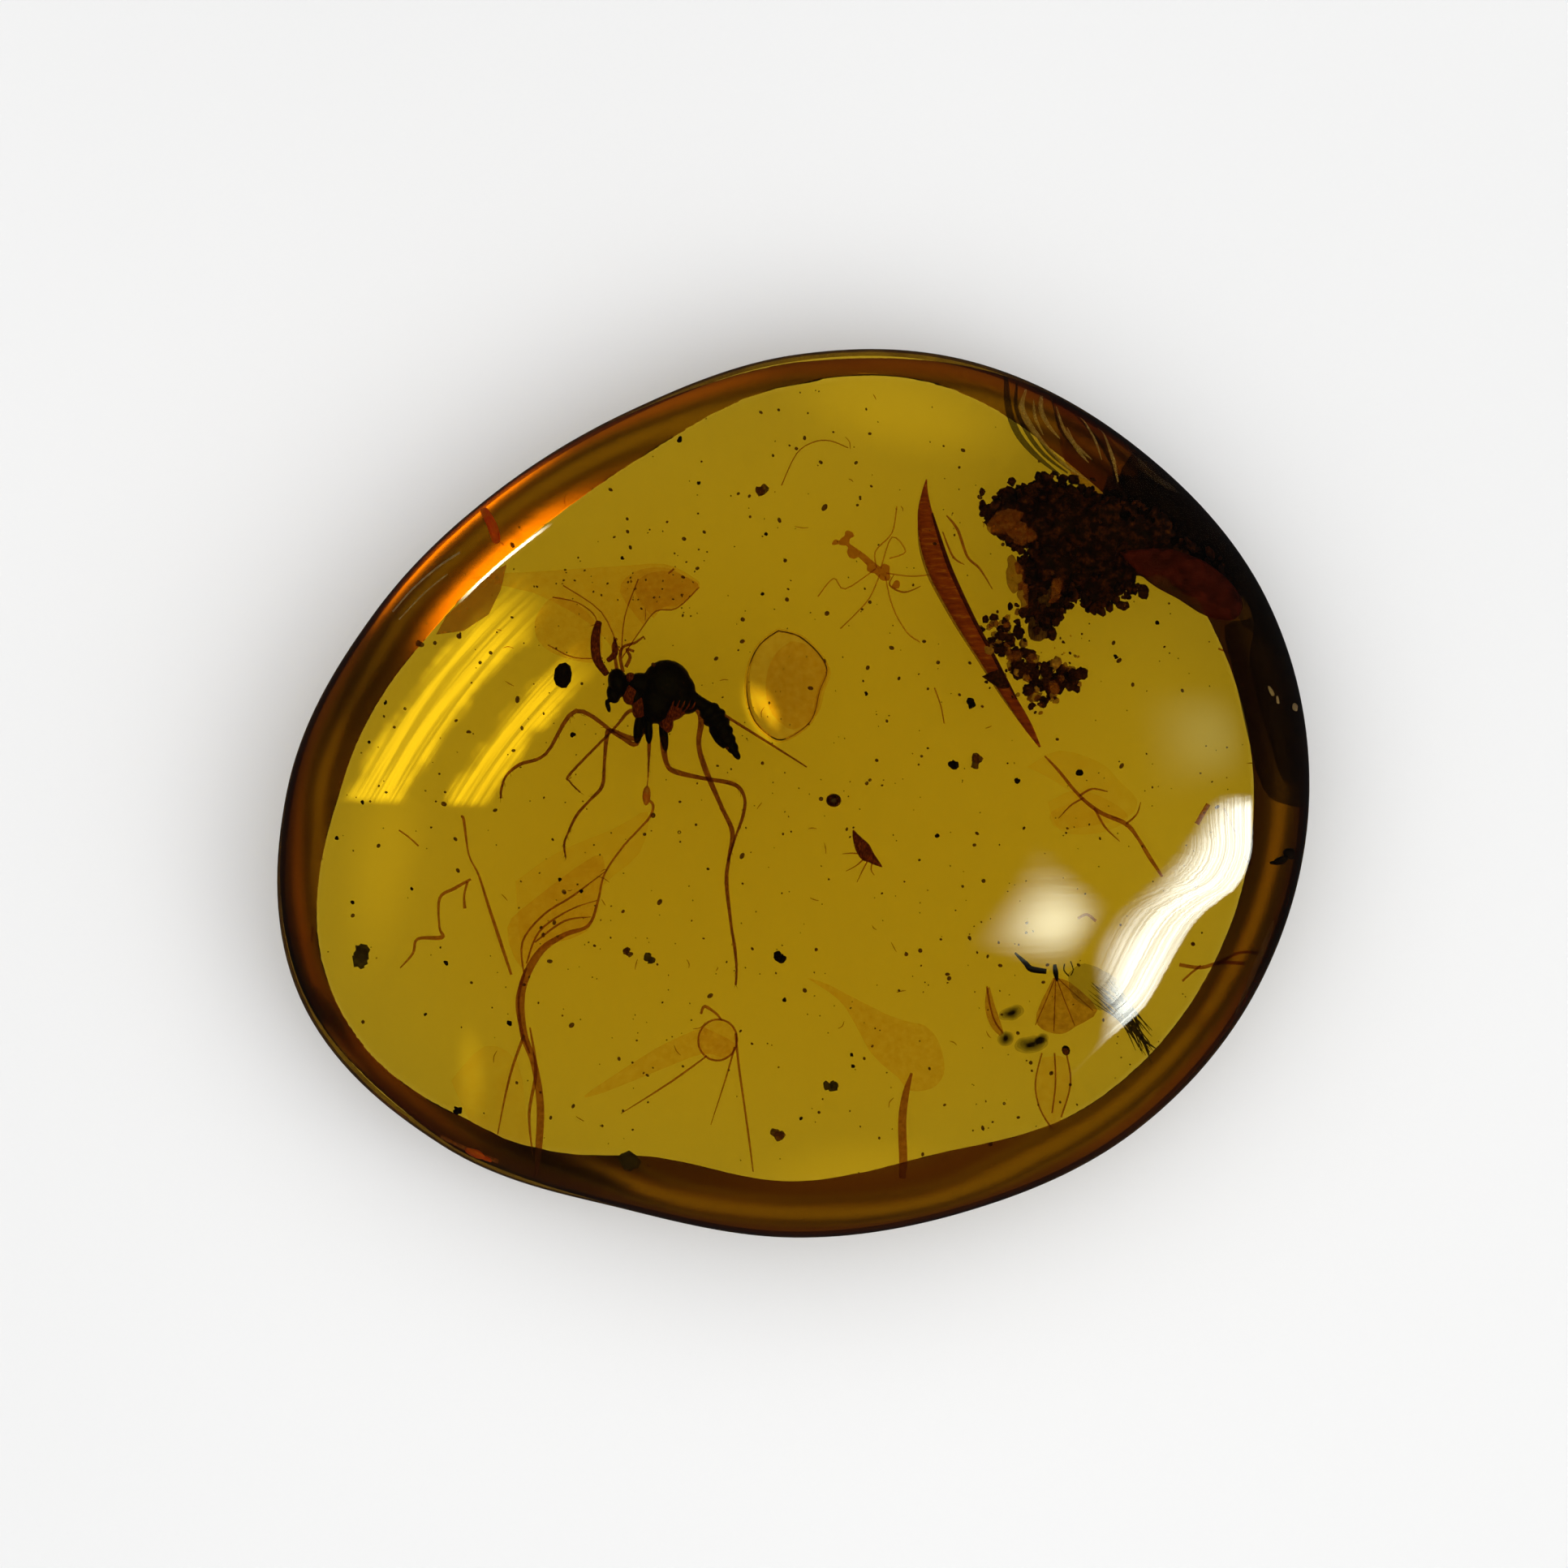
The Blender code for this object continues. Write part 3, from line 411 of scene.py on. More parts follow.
def makeFloorMaterial(name, glow):
    # Satin lacquered board: matt and nearly white, with a faint cloudiness.
    material, tree, shader = newMaterial(name)
    coords = addNode(tree, "ShaderNodeTexCoord")
    cloud = addNode(tree, "ShaderNodeTexNoise", {
        "Vector": coords.outputs["Object"], "Scale": 1 / (60 * mm), "Detail": 2.0})
    colour = addNode(tree, "ShaderNodeValToRGB", {
        "Fac": cloud, "stops": [(0.3, stage["floorColours"][0]), (0.7, stage["floorColours"][1])]})
    tree.links.new(colour.outputs["Color"], shader.inputs["Base Color"])
    shader.inputs["Roughness"].default_value = 0.8
    if glow == 0.0:
        return material
    # The painted light: emission standing in for the light the stone focuses, in mm round the bands' centre.
    centre = paintedFocusedLight["centre"]
    local = addNode(tree, "ShaderNodeMapping", {
        "Vector": coords.outputs["Object"], "Scale": (1 / mm, 1 / mm, 0.0), "Location": (-centre[0], -centre[1], 0.0)})
    parts = addNode(tree, "ShaderNodeSeparateXYZ", {"Vector": local})
    radius = addNode(tree, "ShaderNodeVectorMath", {"operation": "LENGTH", 0: local}).outputs["Value"]
    angle = addNode(tree, "ShaderNodeMath", {"operation": "ARCTAN2", 0: parts.outputs["Y"], 1: parts.outputs["X"]})
    ragged = addNode(tree, "ShaderNodeTexNoise", {"Vector": local, "Scale": 1.2, "Detail": 2.0})
    wander = addNode(tree, "ShaderNodeMapRange", {"Value": ragged, "To Min": -0.25, "To Max": 0.25})
    bent = addNode(tree, "ShaderNodeMath", {"operation": "ADD", 0: radius, 1: wander})
    pool = None
    for middle, half in paintedFocusedLight["bands"]:
        off = addNode(tree, "ShaderNodeMath", {"operation": "SUBTRACT", 0: bent, 1: middle})
        away = addNode(tree, "ShaderNodeMath", {"operation": "ABSOLUTE", 0: off})
        band = addNode(tree, "ShaderNodeMapRange", {
            "interpolation_type": "SMOOTHSTEP", "Value": away, "From Min": half + 0.16, "From Max": half - 0.16})
        pool = addNode(tree, "ShaderNodeMath", {"operation": "ADD", 0: band, 1: pool}) if pool else band
    polar = addNode(tree, "ShaderNodeCombineXYZ", {"X": radius, "Y": angle})
    drawn = addNode(tree, "ShaderNodeMapping", {"Vector": polar, "Scale": (9.0, 3.0, 1.0)})
    striped = addNode(tree, "ShaderNodeTexNoise", {"Vector": drawn, "Scale": 1.0, "Detail": 3.0})
    lowEdge = paintedFocusedLight["lowEdge"] - centre[1]
    for cut in (
            {"Value": parts.outputs["Y"], "From Min": lowEdge - 0.12, "From Max": lowEdge + 0.12},
            {"Value": angle, "From Min": math.radians(paintedFocusedLight["fromAngle"]), "From Max": math.radians(paintedFocusedLight["toAngle"])},
            {"Value": striped, "From Min": 0.36, "From Max": 0.60, "To Min": 0.42, "To Max": 1.15}):
        limit = addNode(tree, "ShaderNodeMapRange", {"interpolation_type": "SMOOTHSTEP", **cut})
        pool = addNode(tree, "ShaderNodeMath", {"operation": "MULTIPLY", 0: pool, 1: limit})
    glow = addNode(tree, "ShaderNodeMath", {
        "operation": "MULTIPLY_ADD", 0: pool, 1: paintedFocusedLight["strength"], 2: glow})
    for x, y, length, width, turn, strength in paintedFocusedLight["spots"]:
        place = addNode(tree, "ShaderNodeMapping", {
            "vector_type": "TEXTURE", "Vector": coords.outputs["Object"], "Location": (x * mm, y * mm, 0.0),
            "Rotation": (0.0, 0.0, math.radians(turn)), "Scale": (length * mm, width * mm, 1.0)})
        away = addNode(tree, "ShaderNodeVectorMath", {"operation": "LENGTH", 0: place}).outputs["Value"]
        spot = addNode(tree, "ShaderNodeMapRange", {
            "interpolation_type": "SMOOTHSTEP", "Value": away, "From Min": 1.0, "From Max": 0.1, "To Max": strength})
        glow = addNode(tree, "ShaderNodeMath", {"operation": "ADD", 0: glow, 1: spot})
    tree.links.new(glow.outputs[0], shader.inputs["Emission Strength"])
    material.cycles.emission_sampling = "NONE"  # the stone bends this light, so aiming rays at it finds nothing
    shader.inputs["Emission Color"].default_value = hexColour(paintedFocusedLight["colour"])
    return material


def makeFloor():
    # The wide table is left out of what the stone mirrors and bends, so its sides stay deep in colour; the patch that
    # the stone stands on shows through it and carries the painted light.
    wide = bmesh.new()
    bmesh.ops.create_grid(wide, x_segments=1, y_segments=1, size=stage["floorSize"])
    patch = bmesh.new()
    patch.faces.new([patch.verts.new((x, y, 0.01)) for x, y in (
        ((stoneRadius(bearing, 0.0) + 0.1) * math.cos(bearing), (stoneRadius(bearing, 0.0) + 0.1) * math.sin(bearing))
        for bearing in (math.tau * step / 96 for step in range(96)))])
    for name, bm, throughStone, glow in (("tableTop", wide, False, 0.0), ("tablePatch", patch, True, paintedFocusedLight["underStone"])):
        bmesh.ops.translate(bm, verts=bm.verts, vec=(0.0, 0.0, -stage["floorGap"]))
        bmesh.ops.scale(bm, verts=bm.verts, vec=(mm, mm, mm))
        mesh = bpy.data.meshes.new(name)
        bm.to_mesh(mesh)
        bm.free()
        mesh.materials.append(makeFloorMaterial("satinLacqueredBoard" if glow == 0.0 else "paintedLightBoard", glow))
        floor = bpy.data.objects.new(name, mesh)
        bpy.context.scene.collection.objects.link(floor)
        floor.visible_glossy = False
        floor.visible_transmission = throughStone


makeCamera()
for lampName, lampSettings in lamps.items():
    makeLamp(lampName, lampSettings)
makeWorld()
bpy.context.scene.view_settings.view_transform = "Standard"
print("camera and light are set")


# The stone

amber = {
    # radii to the widest line, and how far in the flat underside ends, every 22.5 degrees from +X
    "rimRadii": (12.98, 12.86, 12.27, 11.75, 11.03, 10.48, 10.68, 11.54,
                 12.79, 13.48, 12.56, 11.34, 11.21, 11.41, 12.10, 12.68),
    "footInsets": (2.39, 2.50, 2.47, 2.17, 2.22, 2.40, 2.56, 2.61,
                   2.44, 2.02, 2.22, 2.54, 2.50, 2.62, 2.36, 2.34),
    "height": 6.8,
    "girdle": 2.8,
    "domeFlatness": 3.2,
    "flankCurve": 1.6,
    "sides": 256,
    "domeRings": 70,
    "flankRings": 24,
    "waviness": 0.008,  # mm, left by polishing by hand
    "waveSize": 3.5,
    "flankRoughness": 0.13,  # the sides below the widest line are ground, not polished
    "ior": 1.54,
    "takenPerMetre": (36.0, 69.0, 350.0),  # red, green and blue light lost on the way
}

bubble = {
    "outline": ((-0.36, 3.98), (0.15, 3.85), (0.62, 3.45), (0.84, 3.02), (0.66, 2.52), (0.52, 1.94),
                (0.26, 1.60), (-0.30, 1.30), (-0.74, 1.52), (-1.04, 1.92), (-1.16, 2.52), (-1.08, 3.14),
                (-0.80, 3.66)),
    "z": 3.3,
    "thickness": 0.16,
}


def around(values, bearing):
    count = len(values)
    place = bearing / math.tau * count % count
    index, t = int(place), place % 1
    a, b, c, d = (values[(index + step) % count] for step in (-1, 0, 1, 2))
    return 0.5 * (2 * b + (c - a) * t + (2 * a - 5 * b + 4 * c - d) * t**2 + (3 * b - a - 3 * c + d) * t**3)


def stoneRadius(bearing, height):
    # radius of the stone's side at this height
    rim = around(amber["rimRadii"], bearing)
    if height <= amber["girdle"]:
        down = 1 - height / amber["girdle"]
        return rim - around(amber["footInsets"], bearing) * down ** amber["flankCurve"]
    rise = (height - amber["girdle"]) / (amber["height"] - amber["girdle"])
    return rim * max(0.0, 1 - rise**2) ** (1 / amber["domeFlatness"])


def makeAmberMaterial():
    # Baltic amber, ground and polished by hand: clear as glass, with fine rubbing marks that only
    # show in the highlights, and a depth of colour that comes from the resin itself.
    material, tree, shader = newMaterial("polishedAmber")
    coords = addNode(tree, "ShaderNodeTexCoord")
    rubbed = addNode(tree, "ShaderNodeMapping", {
        "Vector": coords.outputs["Object"], "Rotation": (0.0, 0.0, math.radians(58)), "Scale": (0.08, 1.0, 1.0)})
    marks = addNode(tree, "ShaderNodeTexNoise", {"Vector": rubbed, "Scale": 1 / (0.35 * mm), "Detail": 2.0})
    bump = addNode(tree, "ShaderNodeBump", {"Height": marks, "Strength": 0.25, "Distance": 0.004 * mm})
    tree.links.new(bump.outputs["Normal"], shader.inputs["Normal"])
    parts = addNode(tree, "ShaderNodeSeparateXYZ", {"Vector": coords.outputs["Object"]})
    ground = addNode(tree, "ShaderNodeMapRange", {
        "Value": parts.outputs["Z"], "From Min": amber["girdle"] * mm, "From Max": amber["girdle"] * 0.8 * mm,
        "To Max": amber["flankRoughness"]})
    polished = addNode(tree, "ShaderNodeMath", {"operation": "GREATER_THAN", 0: parts.outputs["Z"], 1: 0.01 * mm})
    rough = addNode(tree, "ShaderNodeMath", {"operation": "MULTIPLY", 0: ground, 1: polished})
    tree.links.new(rough.outputs[0], shader.inputs["Roughness"])
    shader.inputs["Base Color"].default_value = (1.0, 1.0, 1.0, 1.0)
    shader.inputs["Transmission Weight"].default_value = 1.0
    shader.inputs["IOR"].default_value = amber["ior"]
    density = max(amber["takenPerMetre"]) * 1.05
    kept = [1 - taken / density for taken in amber["takenPerMetre"]]
    depth = addNode(tree, "ShaderNodeVolumeAbsorption", {"Color": (*kept, 1.0), "Density": density})
    tree.links.new(depth.outputs["Volume"], tree.nodes["Material Output"].inputs["Volume"])
    return material


def makeStone():
    bm = bmesh.new()
    bmesh.ops.create_circle(bm, cap_ends=True, radius=1.0, segments=amber["sides"])
    bm.faces.ensure_lookup_table()
    face = bm.faces[0]
    levels = [(None, 0.0)]
    for step in range(1, amber["flankRings"] + 1):
        levels.append((None, amber["girdle"] * step / amber["flankRings"]))
    for step in range(1, amber["domeRings"]):
        share = math.cos(step / amber["domeRings"] * math.pi / 2)
        rise = (amber["height"] - amber["girdle"]) * math.sqrt(1 - share ** amber["domeFlatness"])
        levels.append((share, amber["girdle"] + rise))
    for level, (share, height) in enumerate(levels):
        if level:
            made = bmesh.ops.extrude_face_region(bm, geom=[face])["geom"]
            if level > 1:
                bmesh.ops.delete(bm, geom=[face], context="FACES_ONLY")
            face = next(item for item in made if isinstance(item, bmesh.types.BMFace))
        for vert in face.verts:
            bearing = math.atan2(vert.co.y, vert.co.x)
            radius = around(amber["rimRadii"], bearing) * share if share else stoneRadius(bearing, height)
            vert.co = Vector((radius * math.cos(bearing), radius * math.sin(bearing), height))
    bmesh.ops.poke(bm, faces=[face])
    for axis in (0, 1):  # centred by its box, as the solids are
        sides = [vert.co[axis] for vert in bm.verts]
        step = Vector((0.0, 0.0, 0.0))
        step[axis] = -(min(sides) + max(sides)) / 2
        bmesh.ops.translate(bm, verts=bm.verts, vec=step)
    bmesh.ops.recalc_face_normals(bm, faces=bm.faces)
    bm.normal_update()
    for vert in bm.verts:
        if vert.co.z > 0.3:
            swell = noise.noise(vert.co / amber["waveSize"]) * min(1.0, (vert.co.z - 0.3) / 2)
            vert.co += vert.normal * (swell - 0.3) * amber["waviness"]
    addHollows(bm)
    stone = newPiece("amberStone", bm, makeAmberMaterial())
    stone.data.set_sharp_from_angle(angle=math.radians(20))
    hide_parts("amber_upper", "amber_lower")


def addHollows(bm):
    # The flat gas bubble and a few round ones are hollows in the stone, so their faces point inwards.
    hollow = bmesh.new()
    route = smoothRoute([*bubble["outline"], bubble["outline"][0]], 4)[:-1]
    middle = Vector((sum(p[0] for p in route), sum(p[1] for p in route))) / len(route)
    face = hollow.faces.new([hollow.verts.new((x, y, 0.0)) for x, y in route])
    profile = ((0.90, -0.5), (0.975, -0.32), (1.0, 0.0), (0.975, 0.32), (0.90, 0.5))
    spread = 1.0
    for level, (share, rise) in enumerate(profile):
        if level:
            made = bmesh.ops.extrude_face_region(hollow, geom=[face])["geom"]
            if level > 1:
                bmesh.ops.delete(hollow, geom=[face], context="FACES_ONLY")
            face = next(item for item in made if isinstance(item, bmesh.types.BMFace))
        for vert in face.verts:
            flat = middle + (vert.co.xy - middle) * share / spread
            vert.co = Vector((*flat, bubble["z"] + rise * bubble["thickness"]))
        spread = share
    for x, y, z, radius in ((-2.80, -0.95, 4.4, 0.05), (-9.3, 1.9, 3.0, 0.04), (5.1, -7.4, 3.5, 0.04)):
        addBlob(hollow, (x, y, z), (radius,) * 3, detail=2)
    bmesh.ops.recalc_face_normals(hollow, faces=hollow.faces)
    bmesh.ops.reverse_faces(hollow, faces=hollow.faces)
    spare = bpy.data.meshes.new("hollows")
    hollow.to_mesh(spare)
    hollow.free()
    bm.from_mesh(spare)
    bpy.data.meshes.remove(spare)


makeStone()
makeFloor()
print("the stone is made")

# The wasp, on its side with its head to -X

wasp = {
    "at": (-3.12, 2.62),
    "skinVoxel": 0.022,
    "legs": (
        (((-0.62, -0.80), (-0.73, -1.42), (-1.18, -1.22), (-2.17, -0.65), (-2.90, -1.69),
          (-3.52, -1.95), (-3.85, -2.23), (-3.97, -2.57), (-3.98, -2.77)), 0.15, 0.25),
        (((-0.66, -0.60), (-0.92, -0.66), (-1.26, -1.06), (-2.31, -2.15), (-2.34, -2.35),
          (-2.09, -2.61)), 0.11, -0.2),
        (((-0.44, -0.86), (-0.73, -1.30), (-1.34, -1.10), (-1.44, -1.27), (-1.50, -1.84),
          (-1.56, -2.45), (-1.87, -2.81), (-2.18, -3.17), (-2.40, -3.63), (-2.48, -3.89),
          (-2.44, -4.20)), 0.14, 0.1),
        (((-0.40, -1.20), (-0.42, -1.52), (-0.43, -1.83), (-0.45, -2.24)), 0.12, 0.0),
        (((-0.04, -0.96), (-0.07, -1.42), (0.02, -1.93), (0.27, -2.11), (0.94, -2.26),
          (1.66, -2.40), (1.91, -2.73), (1.87, -3.18), (1.69, -3.69), (1.51, -4.29)), 0.18, 0.3),
        (((0.62, -0.42), (0.86, -0.75), (0.79, -1.42), (0.96, -2.06), (1.35, -2.97),
          (1.61, -3.58), (1.53, -4.19), (1.47, -4.80), (1.59, -5.86), (1.68, -6.38),
          (1.73, -6.91), (1.71, -7.26)), 0.18, -0.2),
    ),
    "nearWing": ((-1.05, 0.62), (-0.57, 1.31), (-0.19, 1.76), (0.30, 1.83), (0.86, 2.34),
                 (0.68, 2.58), (0.02, 2.86), (-1.09, 2.78), (-2.40, 2.66), (-4.60, 2.42),
                 (-3.10, 2.10), (-1.82, 1.44)),
    "wingTip": ((-0.50, 1.42), (-0.19, 1.76), (0.30, 1.83), (0.84, 2.34), (0.62, 2.54), (0.02, 2.78),
                (-0.70, 2.66), (-1.05, 2.20)),
    "farWing": ((-1.50, 1.30), (-2.00, 1.82), (-2.62, 2.02), (-3.06, 1.52), (-3.00, 0.95), (-2.40, 0.60),
                (-1.60, 0.55)),
}


def makeWaspBody():
    place = wasp["at"]
    bm = bmesh.new()

    def lump(centre, radii, turn=0.0):
        addBlob(bm, shifted([(*centre, sealZ)], place)[0], radii, turn)

    lump((0.04, 0.02), (0.60, 0.60, 0.46), 15)  # humped thorax
    lump((0.30, -0.08), (0.44, 0.42, 0.36), -40)
    lump((-0.20, -0.42), (0.44, 0.52, 0.40), -10)
    lump((0.40, -0.40), (0.40, 0.28, 0.32), -20)
    lump((-0.60, 0.02), (0.34, 0.28, 0.28), 0)  # front thorax and neck
    lump((-0.72, -0.26), (0.20, 0.30, 0.22), 20)
    lump((-1.14, 0.04), (0.25, 0.35, 0.33), 12)  # head
    lump((-1.26, -0.22), (0.17, 0.24, 0.20), 8)
    lump((-1.40, -0.52), (0.06, 0.17, 0.08), 14)  # mouth
    lump((-0.66, -1.02), (0.13, 0.42, 0.16), -8)  # coxae
    lump((-0.42, -1.10), (0.10, 0.34, 0.13), 0)
    lump((-0.06, -1.18), (0.11, 0.44, 0.14), 6)
    addLimb(bm, shifted([(0.42, -0.20), (0.72, -0.34), (1.02, -0.54)], place), (0.60, 0.34, 0.36), 10)
    segments = ((1.06, -0.60, 0.27), (1.18, -0.76, 0.31), (1.30, -0.95, 0.29), (1.41, -1.14, 0.25),
                (1.51, -1.32, 0.20), (1.61, -1.49, 0.15), (1.70, -1.65, 0.09))
    for x, y, radius in segments:  # gaster
        lump((x, y), (0.17, radius, radius * 0.8), -57)
    addLimb(bm, shifted([(1.10, -1.05), (1.28, -1.32), (1.42, -1.52)], place), (0.16, 0.20, 0.06), 10)
    body = newPiece("waspBody", bm, waspCuticle, wasp["skinVoxel"])
    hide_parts("wasp")


def makeWaspChest():
    # The softer skin between the plates: neck, underside and leg roots.
    place = wasp["at"]
    bm = bmesh.new()
    for centre, radii, turn in (
            ((-0.82, -0.20), (0.22, 0.30, 0.24), -20), ((-0.84, 0.16), (0.14, 0.14, 0.22), 0),
            ((-0.62, -0.52), (0.20, 0.32, 0.26), -12), ((0.20, -0.62), (0.34, 0.22, 0.30), 24),
            ((0.46, -0.52), (0.24, 0.17, 0.24), 30), ((0.00, -0.90), (0.18, 0.26, 0.22), 10)):
        addBlob(bm, shifted([(*centre, sealZ)], place)[0], radii, turn)
    for step in range(5):  # pleats under the thorax
        x = 0.02 + step * 0.13
        addLimb(bm, shifted([(x, -0.86 + 0.07 * step, sealZ + 0.24), (x + 0.12, -0.52, sealZ + 0.33),
                             (x + 0.20, -0.34, sealZ + 0.34)], place), (0.03, 0.06, 0.03))
    newPiece("waspChest", bm, waspSoftSkin, wasp["skinVoxel"])


def makeWaspLegs():
    place = wasp["at"]
    bm = bmesh.new()
    draw = random.Random(11)
    for path, width, swing in wasp["legs"]:
        count = len(path) - 1
        knots, widths = [], []
        for index, (x, y) in enumerate(path):
            share = index / count
            knots.append((x + place[0], y + place[1], sealZ + swing * math.sin(share * 3.0)))
            widths.append(0.86 * width * (1 - 0.66 * share) * (1.12 if index % 2 else 0.88))
        addLimb(bm, knots, widths, 8, 5)
        for start, end in zip(knots[1:], knots[2:]):  # short bristles along the shins
            for _ in range(9):
                root = Vector(start).lerp(Vector(end), draw.random())
                lean = (Vector(end) - Vector(start)).normalized() * 0.06
                tip = root + lean + Vector((draw.uniform(-0.07, 0.07), draw.uniform(-0.07, 0.07), draw.uniform(-0.04, 0.04)))
                addLimb(bm, (root, tip), (0.014, 0.006), 3, 1)
    feelers = (((-1.02, 0.30), (-1.08, 0.67), (-1.00, 0.90), (-0.72, 1.00), (-0.50, 1.16)),
               ((-1.16, 0.30), (-1.20, 0.61), (-1.25, 0.90), (-1.15, 1.10)),
               ((-0.95, 0.42), (-0.84, 0.66), (-0.92, 0.84), (-0.74, 0.80)))
    for path in feelers:
        addLimb(bm, shifted(path, place), (0.09, 0.08, 0.07, 0.06, 0.04)[:len(path)], 8, 4)
    addLimb(bm, shifted([(1.14, -0.54), (1.5, -0.75), (2.48, -1.36), (3.45, -1.97)], place),
            (0.10, 0.075, 0.06, 0.035), 8, 4)
    newPiece("waspLegs", bm, waspLegSkin)


def makeWaspWings():
    place = wasp["at"]
    bm = bmesh.new()
    addFilm(bm, shifted(wasp["nearWing"], place), 0.02, sealZ, 3, 3, 0.10)
    newPiece("waspNearWing", bm, wingFilm)
    bm = bmesh.new()
    for layer, shrink in enumerate((1.0, 0.82)):  # darker towards the point
        outline = [(0.84 + (x - 0.84) * shrink, 2.34 + (y - 2.34) * shrink) for x, y in wasp["wingTip"]]
        addFilm(bm, shifted(outline, place), 0.02, sealZ + 0.07 + 0.05 * layer, 3, 3, 0.10)
    newPiece("waspWingTip", bm, smokyFilm)
    bm = bmesh.new()
    draw = random.Random(17)
    for _ in range(70):  # specks on the wing
        x, y = draw.uniform(-2.6, 0.75), draw.uniform(1.3, 2.7)
        if y > 1.7 - 0.2 * x:
            size = draw.uniform(0.010, 0.030)
            addBlob(bm, (*shifted([(x, y)], place)[0], sealZ + 0.25), (size * 1.4, size, 0.02), draw.uniform(0, 180), detail=1)
    newPiece("waspWingSpecks", bm, barkDust)
    bm = bmesh.new()
    addFilm(bm, shifted(wasp["farWing"], place), 0.02, sealZ - 0.1, 4, 3, 0.10)
    newPiece("waspFarWing", bm, paleFilm)
    bm = bmesh.new()
    veins = (((-1.56, 1.30), (-1.70, 1.66), (-2.10, 1.92), (-2.66, 2.02)),
             ((-1.50, 0.62), (-2.20, 0.62), (-2.80, 0.90)),
             ((-1.05, 0.62), (-0.57, 1.31), (-0.19, 1.76), (0.30, 1.83), (0.86, 2.34)),
             ((-1.05, 0.70), (-0.95, 1.60), (-0.60, 2.50)), ((-1.1, 0.8), (-1.5, 1.7), (-2.4, 2.3)))
    for path in veins:
        addLimb(bm, shifted([(x, y, sealZ + 0.03) for x, y in path], place), 0.035, 6, 4)
    newPiece("waspWingVeins", bm, veinSkin)
    bm = bmesh.new()
    addLimb(bm, shifted([(-1.56, 1.50), (-1.66, 1.10), (-1.64, 0.60), (-1.40, 0.22)], place),
            (0.16, 0.24, 0.24, 0.16), 8, 4)
    addLimb(bm, shifted([(-1.40, 0.55), (-1.20, 0.75), (-1.22, 1.15)], place), (0.12, 0.16, 0.05), 8, 4)
    newPiece("waspWingRoot", bm, waspSoftSkin, 0.03)


# Smaller insects

midge = {
    "at": (2.11, 5.34),
    "legs": (
        ((-0.08, 0.12), (-0.11, 0.50), (0.22, 0.84), (0.34, 1.08), (0.41, 1.55)),
        ((0.02, 0.10), (0.29, 0.84), (0.62, 0.50), (0.23, 0.34)),
        ((0.15, 0.0), (0.73, -0.08), (1.22, -0.05)),
        ((0.0, -0.04), (-0.25, -0.59), (-0.64, -1.02), (-0.96, -1.32)),
        ((0.13, -0.08), (0.31, -0.80), (0.65, -1.40), (0.99, -1.66)),
        ((-0.1, 0.10), (-0.84, -0.38), (-1.12, -0.13), (-1.50, -0.56)),
    ),
}


def makeMidge():
    place = midge["at"]
    bm = bmesh.new()
    for x, y, rx, ry, turn in ((0.40, -0.27, 0.11, 0.09, 30), (0.06, -0.02, 0.24, 0.14, -38),
                               (0.14, 0.08, 0.10, 0.16, 10), (-0.24, 0.10, 0.09, 0.12, 30),
                               (-0.86, 0.74, 0.17, 0.10, 20), (-1.08, 0.70, 0.08, 0.07, 0),
                               (-0.72, 0.90, 0.12, 0.08, -20), (-0.66, 0.46, 0.12, 0.16, 40)):
        roughen(addBlob(bm, (x + place[0], y + place[1], sealZ), (rx, ry, 0.10), turn, detail=2), 0.05, 0.12, x)
    addLimb(bm, shifted([(0.02, 0.04), (-0.23, 0.22), (-0.46, 0.42), (-0.85, 0.72)], place),
            (0.16, 0.18, 0.16, 0.08), 8, 3)
    newPiece("midgeBody", bm, midgeSkin, 0.03)
    bm = bmesh.new()
    for path in midge["legs"]:
        addLimb(bm, shifted(path, place), 0.036, 6, 4)
    legs = newPiece("midgeLegs", bm, midgeLegSkin)
    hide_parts("midge")


gnat = {
    "at": (1.71, -1.39),
    "legs": (
        ((0.0, -0.10), (-0.28, -0.08), (-0.51, -0.10)),
        ((0.06, -0.18), (-0.16, -0.38), (-0.42, -0.52)),
        ((0.14, -0.22), (-0.02, -0.52), (-0.15, -0.79)),
        ((0.24, -0.26), (0.20, -0.48), (0.28, -0.62)),
    ),
}


def makeGnat():
    place = gnat["at"]
    bm = bmesh.new()
    addLimb(bm, shifted([(-0.24, 0.50), (-0.16, 0.30), (0.00, 0.04), (0.18, -0.18), (0.48, -0.42)], place),
            (0.05, 0.20, 0.38, 0.28, 0.04), 10, 4, 0.7)
    addBlob(bm, (place[0] + 0.07, place[1] - 0.10, sealZ), (0.22, 0.17, 0.18), -40)
    body = newPiece("gnatBody", bm, waspSoftSkin, 0.02)
    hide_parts("gnat")
    bm = bmesh.new()
    for path in gnat["legs"]:
        addLimb(bm, shifted(path, place), (0.05, 0.035, 0.02), 6, 3)
    newPiece("gnatLegs", bm, veinSkin)


crushedFly = {
    "at": (6.35, -4.33),
    "fan": ((-0.06, -0.10), (-0.47, -0.95), (-0.36, -1.30), (0.10, -1.42), (0.48, -1.23), (0.98, -0.84), (0.34, -0.20)),
    "smear": ((0.30, 0.00), (0.70, 0.25), (1.45, -0.10), (1.62, -0.55), (1.05, -0.85), (0.40, -0.55)),
    "spots": ((-1.06, -0.94, 0.25, 0.13, 20), (-0.62, -1.66, 0.32, 0.16, 8), (-1.22, -1.52, 0.16, 0.14, 0),
              (-0.36, -1.52, 0.14, 0.10, 30)),
}


